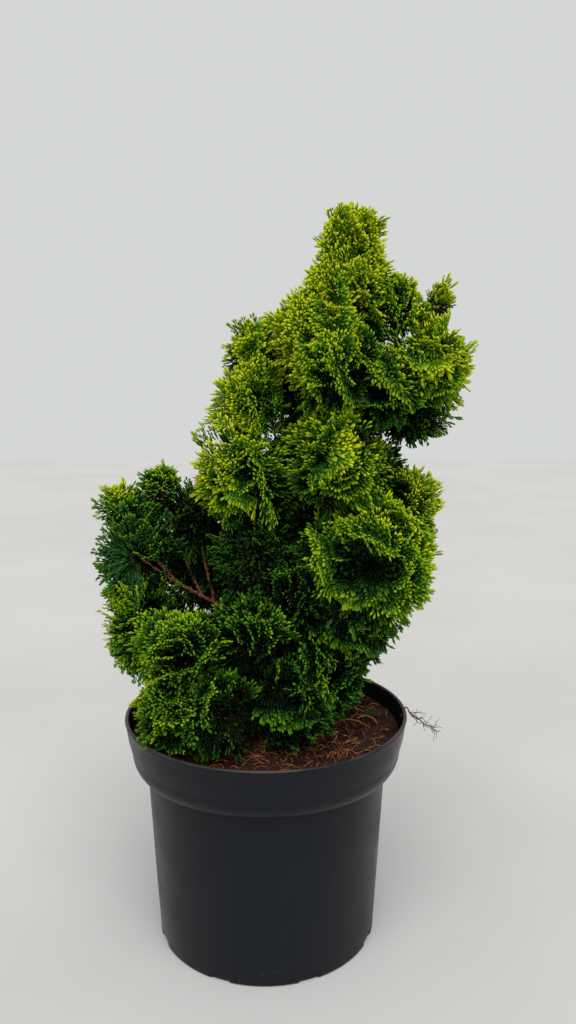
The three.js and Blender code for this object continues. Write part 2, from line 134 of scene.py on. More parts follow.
def turned(outline, sides):
    """Points and faces of an outline of radii and heights, turned about the upright axis."""
    angles = np.arange(sides) * 2 * math.pi / sides
    rings = np.array(outline)
    x = rings[:, :1] * np.cos(angles)
    y = rings[:, :1] * np.sin(angles)
    z = np.repeat(rings[:, 1:], sides, axis=1)
    points = np.stack([x, y, z], axis=2).reshape(-1, 3)
    here = np.arange(sides)
    onward = (here + 1) % sides
    faces = []
    for ring in range(len(rings) - 1):
        low = ring * sides
        faces.append(np.stack([low + here, low + onward, low + sides + onward, low + sides + here], axis=1))
    return points, np.concatenate(faces)


def close_poles(piece):
    """Merges the points that lie together, so that the axis has no slit."""
    work = bmesh.new()
    work.from_mesh(piece.data)
    bmesh.ops.remove_doubles(work, verts=work.verts, dist=SAME_PLACE)
    bmesh.ops.recalc_face_normals(work, faces=work.faces)
    work.to_mesh(piece.data)
    work.free()


def new_material(name, **values):
    """A principled material with its plain sockets set."""
    material = bpy.data.materials.new(name)
    material.use_nodes = True
    shader = material.node_tree.nodes["Principled BSDF"]
    for socket, value in values.items():
        shader.inputs[socket.replace("_", " ")].default_value = value
    return material


def fill(tree, socket, value):
    """Sets a socket to a value, or wires it to another node's output."""
    if isinstance(value, bpy.types.NodeSocket):
        tree.links.new(value, socket)
    else:
        socket.default_value = value


def add_node(tree, kind, settings=None, **inputs):
    """A node with its settings, and each input filled by its name."""
    node = tree.nodes.new(kind)
    for key, value in (settings or {}).items():
        setattr(node, key, value)
    for name, value in inputs.items():
        wanted = name.replace("_", " ")
        fill(tree, next(each for each in node.inputs if each.name == wanted and each.enabled), value)
    return node


def shift_range(tree, value, low, high, to_low, to_high):
    """A value between two limits, smoothed onto another range."""
    settings = {"interpolation_type": "SMOOTHSTEP"}
    limits = {"From_Min": low, "From_Max": high, "To_Min": to_low, "To_Max": to_high}
    return add_node(tree, "ShaderNodeMapRange", settings, Value=value, **limits).outputs["Result"]


def mix_colours(tree, share, first, second):
    node = add_node(tree, "ShaderNodeMix", {"data_type": "RGBA"}, Factor=share, A=first, B=second)
    return next(each for each in node.outputs if each.enabled)


def multiply(tree, first, second, kind="ShaderNodeMath"):
    node = add_node(tree, kind, {"operation": "MULTIPLY"})
    fill(tree, node.inputs[0], first)
    fill(tree, node.inputs[1], second)
    return node.outputs[0]


def noise_at(tree, place, scale, detail, roughness=0.5):
    """The value of a noise at a place."""
    inputs = {"Vector": place, "Scale": scale, "Detail": detail, "Roughness": roughness}
    return add_node(tree, "ShaderNodeTexNoise", **inputs).outputs["Fac"]


def patterned_material(name, **values):
    """A principled material, its tree, and the place on the piece that its pattern follows."""
    material = new_material(name, **values)
    tree = material.node_tree
    return material, tree, add_node(tree, "ShaderNodeTexCoord").outputs["Object"]


def lay_on(tree, colour, relief, strength, depth):
    """Gives a material's shader a colour, and a bump from a relief."""
    shader = tree.nodes["Principled BSDF"]
    bump = add_node(tree, "ShaderNodeBump", Strength=strength, Distance=depth, Height=relief)
    tree.links.new(colour, shader.inputs["Base Color"])
    tree.links.new(bump.outputs["Normal"], shader.inputs["Normal"])


def moulded_plastic():
    """Black plastic with scuffs in upright streaks, specks of dirt low down, and a dirty rim."""
    material, tree, place = patterned_material("moulded_plastic", Specular_IOR_Level=0.2)
    height = add_node(tree, "ShaderNodeSeparateXYZ", Vector=place).outputs["Z"]
    broad = noise_at(tree, place, 16, 5, 0.6)
    fine = noise_at(tree, place, 420, 4, 0.7)
    upright = add_node(tree, "ShaderNodeMapping", Vector=place, Scale=(1, 1, 0.06)).outputs["Vector"]
    streaks = noise_at(tree, upright, 90, 3)
    worn = shift_range(tree, broad, 0.42, 0.72, 0, 1)
    streaked = shift_range(tree, streaks, 0.5, 0.75, 0.1, 0.8)
    speckled = shift_range(tree, fine, 0.58, 0.74, 0, 1)
    on_rim = shift_range(tree, height, POT_HEIGHT - RIM_DIRT_DEPTH, POT_HEIGHT, 0, 0.35)
    rim_dirt = multiply(tree, on_rim, shift_range(tree, broad, 0.35, 0.6, 0.15, 1))
    low_dirt = multiply(tree, shift_range(tree, height, SPLASH_HEIGHT, 0, 0, 0.55), speckled)
    colour = mix_colours(tree, multiply(tree, worn, streaked), PLASTIC, PLASTIC_WORN)
    colour = mix_colours(tree, rim_dirt, colour, POT_DIRT)
    colour = mix_colours(tree, low_dirt, colour, POT_DIRT)
    lay_on(tree, colour, fine, strength=0.12, depth=0.2 * MM)
    roughness = shift_range(tree, broad, 0.3, 0.7, 0.28, 0.44)
    tree.links.new(roughness, tree.nodes["Principled BSDF"].inputs["Roughness"])
    return material


body_taper = BODY_TOP_RADIUS - BODY_FOOT_RADIUS
lip_centre = (RIM_RADIUS - LIP / 2, POT_HEIGHT - LIP / 2)
pot_outline = [
    (0, 0),
    (BODY_FOOT_RADIUS - 6 * FOOT_ROUND, 0),
    *arc((BODY_FOOT_RADIUS - FOOT_ROUND, FOOT_ROUND), (FOOT_ROUND, FOOT_ROUND), -90, 0, FOOT_ROUND_STEPS),
    (BODY_FOOT_RADIUS, DRAIN_HEIGHT - DRAIN_STEP),
    (BODY_FOOT_RADIUS, DRAIN_HEIGHT),
    *[(BODY_FOOT_RADIUS + share * body_taper, share * SHOULDER) for share in BODY_RINGS],
    *shoulder_curve(0),
    (COLLAR_FOOT_RADIUS + COLLAR_STEP, SHOULDER + SHOULDER_RISE + 5 * COLLAR_STEP),
    *[(COLLAR_TOP_RADIUS + out, POT_HEIGHT - lips * LIP) for out, lips in COLLAR_FLARE],
    (RIM_RADIUS - LIP_UNDERCUT, POT_HEIGHT - 1.2 * LIP),
    *arc(lip_centre, (LIP / 2, LIP / 2), 0, 180, ROUND_STEPS),
    (RIM_RADIUS - LIP, POT_HEIGHT - 2 * LIP),
    *reversed(shoulder_curve(POT_WALL)),
    (BODY_FOOT_RADIUS - POT_WALL, POT_FLOOR),
    (0, POT_FLOOR),
]
pot_points, pot_faces = turned(pot_outline, POT_SIDES)
pot_angles = np.arctan2(pot_points[:, 1], pot_points[:, 0]) % (2 * math.pi / DRAIN_COUNT)
from_drain = np.abs(pot_angles - math.pi / DRAIN_COUNT) * BODY_FOOT_RADIUS
reach_out = np.hypot(pot_points[:, 0], pot_points[:, 1])
in_drain = (from_drain < DRAIN_WIDTH / 2) & (pot_points[:, 2] < DRAIN_HEIGHT - DRAIN_STEP / 2)
in_drain &= reach_out > BODY_FOOT_RADIUS - 2 * FOOT_ROUND
pot_points[in_drain, :2] *= (1 - DRAIN_DEPTH / reach_out[in_drain])[:, None]

pot = mesh_piece("nursery_pot", pot_points, pot_faces, moulded_plastic())
close_poles(pot)
pot.data.set_sharp_from_angle(angle=SHARP_EDGE)
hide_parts("pot")
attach(pot, "root")


# ---------------------------------------------------------------- compost
# Moist peat with composted bark, firmed to a little under the lip. Its top is crumbly, with chips of
# bark and two patches of moss, and fine roots have grown up through it.

COMPOST_LEVEL = 196 * MM
COMPOST_GAP = 0.3 * MM
COMPOST_EDGE_SHARE = 0.4
COMPOST_MARGIN = 2.5 * MM
COMPOST_RINGS = 64
COMPOST_SIDES = 160
COMPOST_SWELL = 2.6 * MM
COMPOST_GRAIN = 1.1 * MM
COMPOST_CRUMB = 3 * MM
COMPOST_BROWN = (0.024, 0.0063, 0.0037, 1)
TOP_TOLERANCE = 0.1 * MM
LUMP_WIDTH = 0.62
LUMP_THICKNESS = 0.45
# What lies on the top: how many pieces, from what size to what size, and the colour.
CRUMB_KINDS = {
    "compost_crumbs": (6000, (0.6 * MM, 1.9 * MM), (0.024, 0.0062, 0.0040, 1)),
    "compost_fibre_crumbs": (3000, (0.5 * MM, 1.5 * MM), (0.112, 0.030, 0.0105, 1)),
    "bark_chips": (900, (1.4 * MM, 3.6 * MM), (0.062, 0.0155, 0.007, 1)),
}
CRUMB_LIFT = 0.2 * MM
CRUMB_GRAIN = 2 * MM
CRUMB_SEED = 5
# Each patch of moss: its place to the right, its place to the back, and its radius. Then how many lumps
# of it stand on a square metre.
MOSS_PATCHES = [(100 * MM, 25 * MM, 9 * MM), (77 * MM, -40 * MM, 5 * MM)]
MOSS_DENSITY = 1.6e6
MOSS_SIZES = (0.6 * MM, 1.7 * MM)
MOSS_LIFT = 0.8 * MM
MOSS_GRAIN = 1.5 * MM
MOSS_SEED = 17
MOSS = (0.022, 0.050, 0.010, 1)
DISC_SIDES = 64


def geometry_tree(name, inputs):
    """A tree with named inputs: the tree, what it is given, its end, and each input's identifier."""
    tree = bpy.data.node_groups.new(name, "GeometryNodeTree")
    for way in ("INPUT", "OUTPUT"):
        tree.interface.new_socket("Geometry", in_out=way, socket_type="NodeSocketGeometry")
    identifiers = {}
    for label, kind in inputs.items():
        socket = tree.interface.new_socket(label, in_out="INPUT", socket_type=f"NodeSocket{kind}")
        identifiers[label] = socket.identifier
    given = tree.nodes.new("NodeGroupInput").outputs
    return tree, given, tree.nodes.new("NodeGroupOutput"), identifiers


def finish_tree(tree, output, geometry, material):
    """Ends a tree in Realize Instances and Set Material."""
    real = add_node(tree, "GeometryNodeRealizeInstances", Geometry=geometry).outputs["Geometry"]
    dressed = add_node(tree, "GeometryNodeSetMaterial", Geometry=real, Material=material)
    tree.links.new(dressed.outputs["Geometry"], output.inputs["Geometry"])


def made_by(tree, identifiers, piece, values):
    """The piece as the plain mesh that the tree makes of it, with the tree's named inputs set."""
    modifier = piece.modifiers.new("made", "NODES")
    modifier.node_group = tree
    for label, value in values.items():
        modifier[identifiers[label]] = value
    seen = piece.evaluated_get(bpy.context.evaluated_depsgraph_get())
    mesh = bpy.data.meshes.new_from_object(seen)
    piece.modifiers.remove(modifier)
    piece.data = mesh
    return piece


def crumbly(name, colour, grain):
    """A dull, damp, crumbly finish in one colour with darker and lighter crumbs."""
    material, tree, place = patterned_material(name, Roughness=0.88, Specular_IOR_Level=0.25)
    cells = noise_at(tree, place, 1 / grain, 4, 0.7)
    dark = tuple(0.35 * part for part in colour[:3]) + (1,)
    light = tuple(1.7 * part for part in colour[:3]) + (1,)
    share = shift_range(tree, cells, 0.35, 0.7, 0, 1)
    lay_on(tree, mix_colours(tree, share, dark, light), cells, strength=0.7, depth=0.6 * MM)
    return material


def rolling_tree():
    """Moves a flat top into swells and grains, by noise along Z."""
    tree, given, result, identifiers = geometry_tree(
        "rolling_ground", {"Level": "Float", "Swell": "Float", "Grain": "Float", "Finish": "Material"},
    )
    place = add_node(tree, "GeometryNodeInputPosition").outputs["Position"]
    height = add_node(tree, "ShaderNodeSeparateXYZ", Vector=place).outputs["Z"]
    broad = noise_at(tree, place, 22, 2)
    fine = noise_at(tree, place, 190, 5, 0.7)
    total = add_node(tree, "ShaderNodeMath", {"operation": "ADD"})
    fill(tree, total.inputs[0], multiply(tree, shift_range(tree, broad, 0.3, 0.7, -1, 1), given["Swell"]))
    fill(tree, total.inputs[1], multiply(tree, shift_range(tree, fine, 0.3, 0.7, -1, 1), given["Grain"]))
    up = add_node(tree, "ShaderNodeCombineXYZ", Z=total.outputs["Value"]).outputs["Vector"]
    on_top = add_node(tree, "FunctionNodeCompare", A=height, B=given["Level"]).outputs["Result"]
    moved = add_node(
        tree, "GeometryNodeSetPosition", Geometry=given["Geometry"], Offset=up, Selection=on_top,
    )
    finish_tree(tree, result, moved.outputs["Geometry"], given["Finish"])
    return tree, identifiers


compost_wall = COLLAR_FOOT_RADIUS - POT_WALL - COMPOST_GAP
compost_edge = compost_wall + (COLLAR_TOP_RADIUS - COLLAR_FOOT_RADIUS) * COMPOST_EDGE_SHARE
compost_top = [(compost_edge * ring / COMPOST_RINGS, COMPOST_LEVEL) for ring in range(COMPOST_RINGS, -1, -1)]
compost_outline = [
    (0, POT_FLOOR + COMPOST_GAP),
    (BODY_FOOT_RADIUS - POT_WALL - COMPOST_GAP, POT_FLOOR + COMPOST_GAP),
    *shoulder_curve(POT_WALL + COMPOST_GAP),
    *compost_top,
]
compost = mesh_piece("compost_body", *turned(compost_outline, COMPOST_SIDES))
close_poles(compost)
made_by(*rolling_tree(), compost, {
    "Level": COMPOST_LEVEL - TOP_TOLERANCE,
    "Swell": COMPOST_SWELL / 2,
    "Grain": COMPOST_GRAIN / 2,
    "Finish": crumbly("damp_compost", COMPOST_BROWN, COMPOST_CRUMB),
})
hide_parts("compost")
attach(compost, "root")


def scatter_tree():
    """Strews lumps of a few faces over a surface, each turned and sized at random."""
    tree, given, result, identifiers = geometry_tree("strewn_lumps", {
        "Density": "Float", "Smallest": "Float", "Largest": "Float", "Seed": "Int", "Finish": "Material",
    })
    points = add_node(
        tree, "GeometryNodeDistributePointsOnFaces", Mesh=given["Geometry"], Density=given["Density"],
        Seed=given["Seed"],
    )
    lump = add_node(tree, "GeometryNodeMeshIcoSphere", Radius=1.0, Subdivisions=1).outputs["Mesh"]
    turn = add_node(
        tree, "FunctionNodeRandomValue", {"data_type": "FLOAT_VECTOR"},
        Max=(2 * math.pi, 2 * math.pi, 2 * math.pi), Seed=given["Seed"],
    )
    length = add_node(
        tree, "FunctionNodeRandomValue", {"data_type": "FLOAT"},
        Min=given["Smallest"], Max=given["Largest"], Seed=given["Seed"],
    )
    any_turn = next(each for each in turn.outputs if each.enabled)
    long_way = next(each for each in length.outputs if each.enabled)
    size = add_node(
        tree, "ShaderNodeCombineXYZ", X=long_way, Y=multiply(tree, long_way, LUMP_WIDTH),
        Z=multiply(tree, long_way, LUMP_THICKNESS),
    )
    lumps = add_node(
        tree, "GeometryNodeInstanceOnPoints", Points=points.outputs["Points"], Instance=lump,
        Rotation=any_turn, Scale=size.outputs["Vector"],
    )
    finish_tree(tree, result, lumps.outputs["Instances"], given["Finish"])
    return tree, identifiers


strewing = scatter_tree()


def strew(name, centre, radius, lift, density, sizes, seed, material):
    """A piece of lumps, strewn over a round patch a little above the compost."""
    points, faces = turned([(radius, COMPOST_LEVEL + lift), (0, COMPOST_LEVEL + lift)], DISC_SIDES)
    points[:, :2] += centre
    lumps = made_by(*strewing, mesh_piece(name, points, faces), {
        "Density": density,
        "Smallest": sizes[0],
        "Largest": sizes[1],
        "Seed": seed,
        "Finish": material,
    })
    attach(lumps, "root")


compost_spread = compost_edge - COMPOST_MARGIN
for kind, (crumb_kind, (count, sizes, tint)) in enumerate(CRUMB_KINDS.items()):
    density = count / (math.pi * compost_spread ** 2)
    finish = crumbly(crumb_kind, tint, CRUMB_GRAIN)
    strew(crumb_kind, (0, 0), compost_spread, CRUMB_LIFT, density, sizes, CRUMB_SEED + kind, finish)

for number, (across, back, radius) in enumerate(MOSS_PATCHES):
    patch = f"moss_{number + 1}"
    finish = crumbly(patch, MOSS, MOSS_GRAIN)
    strew(patch, (across, back), radius, MOSS_LIFT, MOSS_DENSITY, MOSS_SIZES, MOSS_SEED + number, finish)


# ---------------------------------------------------------------- trunk
# The leader: it rises from the compost with a flared foot, leans to the right, then climbs to the tip
# of the crown. Its bark is red-brown and peels in long narrow strips.

# Height, place to the right and place to the back of each mark on its middle line, in millimetres.
TRUNK_LINE = [
    (182, -14, 0), (210, -10, 0), (303, 25, 3), (396, 51, 6), (498, 74, 8), (579, 78, 6), (644, 69, 5),
]
TRUNK_FOOT_RADIUS = 9.5 * MM
TRUNK_TIP_RADIUS = 1.6 * MM
TRUNK_SUNK = 6 * MM
FLARE = 6.5 * MM
FLARE_HEIGHT = 15 * MM
TRUNK_POINTS = 240
BARK = (0.115, 0.040, 0.020, 1)
BARK_DARK = (0.026, 0.010, 0.007, 1)
BARK_PALE = (0.26, 0.115, 0.058, 1)


def smooth_line(marks, steps):
    """Points along a centripetal spline through the marks, the same line that the source bends."""
    marks = np.array(marks, dtype=float)
    first = 2 * marks[0] - marks[1]
    last = 2 * marks[-1] - marks[-2]
    marks = np.vstack([first, marks, last])
    share = np.linspace(0, 1, steps, endpoint=False)[:, None]
    line = []
    for before, start, end, after in zip(marks, marks[1:], marks[2:], marks[3:]):
        gaps = [math.sqrt(np.linalg.norm(b - a)) for a, b in ((before, start), (start, end), (end, after))]
        leave = (start - before) / gaps[0] - (end - before) / (gaps[0] + gaps[1]) + (end - start) / gaps[1]
        arrive = (end - start) / gaps[1] - (after - start) / (gaps[1] + gaps[2]) + (after - end) / gaps[2]
        leave *= gaps[1]
        arrive *= gaps[1]
        square = -3 * start + 3 * end - 2 * leave - arrive
        cube = 2 * start - 2 * end + leave + arrive
        line.append(start + share * leave + share ** 2 * square + share ** 3 * cube)
    line.append(marks[-2:-1])
    return np.vstack(line)


trunk_marks = [(x * MM, y * MM, height * MM) for height, x, y in TRUNK_LINE]
trunk_line = smooth_line(trunk_marks, TRUNK_POINTS // (len(TRUNK_LINE) - 1))


def trunk_at(height):
    """The point of the trunk's middle line at a height."""
    return np.array([np.interp(height, trunk_line[:, 2], trunk_line[:, axis]) for axis in range(3)])


def trunk_girth(height):
    """The trunk's radius at a height, with its flare at the foot."""
    run = (height - trunk_line[0, 2]) / (trunk_line[-1, 2] - trunk_line[0, 2])
    above = np.maximum(height - COMPOST_LEVEL, 0)
    tapered = TRUNK_FOOT_RADIUS + run * (TRUNK_TIP_RADIUS - TRUNK_FOOT_RADIUS)
    return tapered + FLARE * np.exp(-above / FLARE_HEIGHT)


def limb_tree():
    """Sweeps a round section along lines, as wide as their girth, and raises bark on it by noise."""
    tree, given, result, identifiers = geometry_tree("barked_limb", {
        "Step": "Float", "Sides": "Int", "Relief": "Float", "Ridges Per Metre": "Float",
        "Lengthwise": "Float", "Bark": "Material",
    })
    line = add_node(tree, "GeometryNodeMeshToCurve", Mesh=given["Geometry"]).outputs["Curve"]
    by_length = {"mode": "LENGTH"}
    fine = add_node(tree, "GeometryNodeResampleCurve", by_length, Curve=line, Length=given["Step"])
    section = add_node(tree, "GeometryNodeCurvePrimitiveCircle", Resolution=given["Sides"], Radius=1.0)
    girth = add_node(tree, "GeometryNodeInputNamedAttribute", Name="girth").outputs["Attribute"]
    tube = add_node(
        tree, "GeometryNodeCurveToMesh", Curve=fine.outputs["Curve"], Profile_Curve=section.outputs["Curve"],
        Scale=girth, Fill_Caps=True,
    )
    place = add_node(tree, "GeometryNodeInputPosition").outputs["Position"]
    along = add_node(tree, "ShaderNodeCombineXYZ", X=1.0, Y=1.0, Z=given["Lengthwise"]).outputs["Vector"]
    drawn_out = multiply(tree, place, along, "ShaderNodeVectorMath")
    ridged = noise_at(tree, drawn_out, given["Ridges Per Metre"], 4, 0.6)
    height = multiply(tree, shift_range(tree, ridged, 0.35, 0.68, -0.6, 1), given["Relief"])
    normal = add_node(tree, "GeometryNodeInputNormal").outputs["Normal"]
    outward = add_node(tree, "ShaderNodeVectorMath", {"operation": "SCALE"}, Vector=normal, Scale=height)
    raised = add_node(
        tree, "GeometryNodeSetPosition", Geometry=tube.outputs["Mesh"], Offset=outward.outputs["Vector"],
    )
    smooth = add_node(tree, "GeometryNodeSetShadeSmooth", Geometry=raised.outputs["Geometry"])
    finish_tree(tree, result, smooth.outputs["Geometry"], given["Bark"])
    return tree, identifiers


growing = limb_tree()


def grow_limbs(name, lines, girths, material, step, sides, relief, ridge, lengthwise):
    """One piece of limbs, each along its own line of points with its own girths."""
    mesh = bpy.data.meshes.new(name)
    edges = []
    first = 0
    for line in lines:
        edges += [(first + point, first + point + 1) for point in range(len(line) - 1)]
        first += len(line)
    mesh.from_pydata(np.vstack(lines).tolist(), edges, [])
    mesh.attributes.new("girth", "FLOAT", "POINT").data.foreach_set("value", np.concatenate(girths))
    piece = bpy.data.objects.new(name, mesh)
    bpy.context.scene.collection.objects.link(piece)
    return made_by(*growing, piece, {
        "Step": step,
        "Sides": sides,
        "Relief": relief,
        "Ridges Per Metre": 1 / ridge,
        "Lengthwise": lengthwise,
        "Bark": material,
    })


def stringy_bark(name, dark, middle, pale, lengthwise):
    """Bark in strips: dark in the cracks, paler where a strip has lifted."""
    material, tree, place = patterned_material(name, Roughness=0.82, Specular_IOR_Level=0.3)
    drawn_out = add_node(tree, "ShaderNodeMapping", Vector=place, Scale=(1, 1, lengthwise))
    strips = noise_at(tree, drawn_out.outputs["Vector"], 480, 5, 0.65)
    patches = noise_at(tree, place, 70, 2)
    whole = shift_range(tree, strips, 0.36, 0.55, 0, 1)
    raised = shift_range(tree, strips, 0.52, 0.7, 0, 1)
    lifted = multiply(tree, raised, shift_range(tree, patches, 0.4, 0.65, 0.15, 1))
    colour = mix_colours(tree, whole, dark, middle)
    colour = mix_colours(tree, lifted, colour, pale)
    lay_on(tree, colour, strips, strength=0.8, depth=0.5 * MM)
    return material


standing = trunk_line[trunk_line[:, 2] > COMPOST_LEVEL - TRUNK_SUNK]
old_bark = stringy_bark("old_bark", BARK_DARK, BARK, BARK_PALE, 0.1)
trunk = grow_limbs(
    "leader", [standing], [trunk_girth(standing[:, 2])], old_bark,
    step=1.6 * MM, sides=32, relief=0.9 * MM, ridge=5 * MM, lengthwise=0.16,
)
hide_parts("trunk")
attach(trunk, "root")


# ---------------------------------------------------------------- surface roots
# Fine roots that have come up through the compost and lie over it, tan where they are new. A dry tuft
# of them hangs over the lip at the right.

ROOT_SEED = 31
ROOT_COUNT = 240
ROOT_STEP = 3 * MM
ROOT_STEPS = (6, 20)
FEWEST_POINTS = 4
ROOT_RADII = (0.25 * MM, 0.75 * MM)
ROOT_TIP_RADIUS = 0.15 * MM
ROOT_SPREAD = (0.1, 0.95)
ROOT_LIFT = 0.6 * MM
ROOT_ARCH = 2.4 * MM
ROOT_ARCH_TURN = 0.7
ROOT_LOWEST = -1.5 * MM
ROOT_BEND = 0.3
# Every fourth root lies in a mat near the front of the pot.
MAT_EVERY = 4
MAT_CENTRE = np.array([38 * MM, -64 * MM])
MAT_SPREAD = np.array([30 * MM, 14 * MM])
# The thickest roots that lie bare, as marks along each in millimetres, and how high over the compost
# each of the marks lies.
THICK_ROOTS = [
    [(62, 24), (74, 30), (86, 29), (98, 20)],
    [(70, 8), (77, 3), (86, -2), (93, -9)],
    [(39, -54), (41, -44), (48, -31), (53, -40)],
    [(66, -18), (60, -27), (63, -36), (58, -44)],
    [(84, 12), (92, 12), (99, 6), (104, -3)],
]
THICK_ROOT_HEIGHTS = (-0.5, 2.4, 2.4, -0.5)
THICK_ROOT_STEPS = 8
THICK_ROOT_RADII = (0.95 * MM, 0.35 * MM)
ROOT_TAN = (0.28, 0.095, 0.026, 1)
ROOT_TAN_DARK = (0.075, 0.024, 0.010, 1)
ROOT_TAN_PALE = (0.50, 0.25, 0.09, 1)
THICK_ROOT_TAN = (0.46, 0.23, 0.090, 1)
DRY_ROOT_FOOT = np.array([RIM_RADIUS - 4 * MM, 2 * MM, POT_HEIGHT - 8 * MM])
DRY_ROOT_LIP = np.array([RIM_RADIUS - 1.5 * MM, 1 * MM, POT_HEIGHT + 1 * MM])
DRY_ROOT_OUT = (3 * MM, 0, 0)
DRY_ROOT_STEPS = 9
DRY_ROOT_STEP = 4.2 * MM
DRY_ROOT_FALL = np.array([1.0, -0.12, -1.0])
DRY_ROOT_STRAY = 0.45
DRY_ROOT_RADII = (0.75 * MM, 0.3 * MM)
ROOTLET_COUNT = 24
ROOTLET_STEPS = (3, 8)
ROOTLET_STEP = 2.6 * MM
ROOTLET_OUT = (-0.1, 1)
ROOTLET_ASIDE = (0, 0.6)
ROOTLET_UP = (-0.5, 0.5)
ROOTLET_BEND = 0.4
ROOTLET_RADII = (0.35 * MM, 0.15 * MM)
DRY_ROOT = (0.12, 0.095, 0.085, 1)


def way_at(turn):
    """The way along the ground at a turn."""
    return np.array([math.cos(turn), math.sin(turn)])


root_rng = np.random.default_rng(ROOT_SEED)
root_lines, root_girths = [], []
for number in range(ROOT_COUNT):
    turn = root_rng.uniform(-math.pi, math.pi)
    place = compost_spread * math.sqrt(root_rng.uniform(*ROOT_SPREAD)) * way_at(turn)
    if number % MAT_EVERY == 0:
        place = MAT_CENTRE + MAT_SPREAD * root_rng.normal(0, 1, 2)
    heading = root_rng.uniform(-math.pi, math.pi)
    phase = root_rng.uniform(0, 2 * math.pi)
    line = []
    for step in range(root_rng.integers(*ROOT_STEPS)):
        if np.hypot(*place) > compost_spread:
            break
        arch = ROOT_ARCH * math.sin(ROOT_ARCH_TURN * step + phase)
        line.append((*place, COMPOST_LEVEL + ROOT_LIFT + max(arch, ROOT_LOWEST)))
        place = place + ROOT_STEP * way_at(heading)
        heading += root_rng.normal(0, ROOT_BEND)
    if len(line) >= FEWEST_POINTS:
        root_lines.append(np.array(line))
        root_girths.append(np.linspace(root_rng.uniform(*ROOT_RADII), ROOT_TIP_RADIUS, len(line)))
root_skin = stringy_bark("root_skin", ROOT_TAN_DARK, ROOT_TAN, ROOT_TAN_PALE, 1)
roots = grow_limbs(
    "fine_roots", root_lines, root_girths, root_skin,
    step=1.5 * MM, sides=5, relief=0.1 * MM, ridge=3 * MM, lengthwise=1,
)
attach(roots, "root")

thick_lines = []
for marks in THICK_ROOTS:
    heights = COMPOST_LEVEL / MM + np.array(THICK_ROOT_HEIGHTS)
    thick_lines.append(smooth_line(np.column_stack([marks, heights]), THICK_ROOT_STEPS) * MM)
thick_roots = grow_limbs(
    "thick_roots", thick_lines, [np.linspace(*THICK_ROOT_RADII, len(line)) for line in thick_lines],
    stringy_bark("thick_root_skin", ROOT_TAN, THICK_ROOT_TAN, ROOT_TAN_PALE, 1),
    step=1.5 * MM, sides=6, relief=0.15 * MM, ridge=3 * MM, lengthwise=1,
)
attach(thick_roots, "root")

hanging = [DRY_ROOT_FOOT, DRY_ROOT_LIP, DRY_ROOT_LIP + DRY_ROOT_OUT]
over_lip = len(hanging)
for _ in range(DRY_ROOT_STEPS):
    heading = DRY_ROOT_FALL + root_rng.normal(0, DRY_ROOT_STRAY, 3)
    hanging.append(hanging[-1] + DRY_ROOT_STEP * heading / np.linalg.norm(heading))
dry_lines, dry_girths = [np.array(hanging)], [np.linspace(*DRY_ROOT_RADII, len(hanging))]
for rootlet in range(ROOTLET_COUNT):
    place = hanging[over_lip + rootlet % (DRY_ROOT_STEPS - 1)]
    heading = np.array([
        root_rng.uniform(*ROOTLET_OUT), root_rng.normal(*ROOTLET_ASIDE), root_rng.normal(*ROOTLET_UP),
    ])
    line = [place]
    for step in range(root_rng.integers(*ROOTLET_STEPS)):
        place = place + ROOTLET_STEP * heading / np.linalg.norm(heading)
        heading = heading + root_rng.normal(0, ROOTLET_BEND, 3)
        line.append(place)
    dry_lines.append(np.array(line))
    dry_girths.append(np.linspace(*ROOTLET_RADII, len(line)))
dry_roots = grow_limbs(
    "dry_roots", dry_lines, dry_girths, new_material("dry_root_skin", Base_Color=DRY_ROOT, Roughness=0.9),
    step=1.5 * MM, sides=4, relief=0.1 * MM, ridge=3 * MM, lengthwise=1,
)
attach(dry_roots, "root")


# ---------------------------------------------------------------- boughs and stems
# Every mass of foliage hangs on one stem. It leaves the trunk or another bough low, sags, and climbs
# into the middle of the mass. The young wood is orange-brown and knobbly where leaves have dropped.

YELLOW, BRIGHT, GREEN, DEEP = 0.78, 0.56, 0.34, 0.14
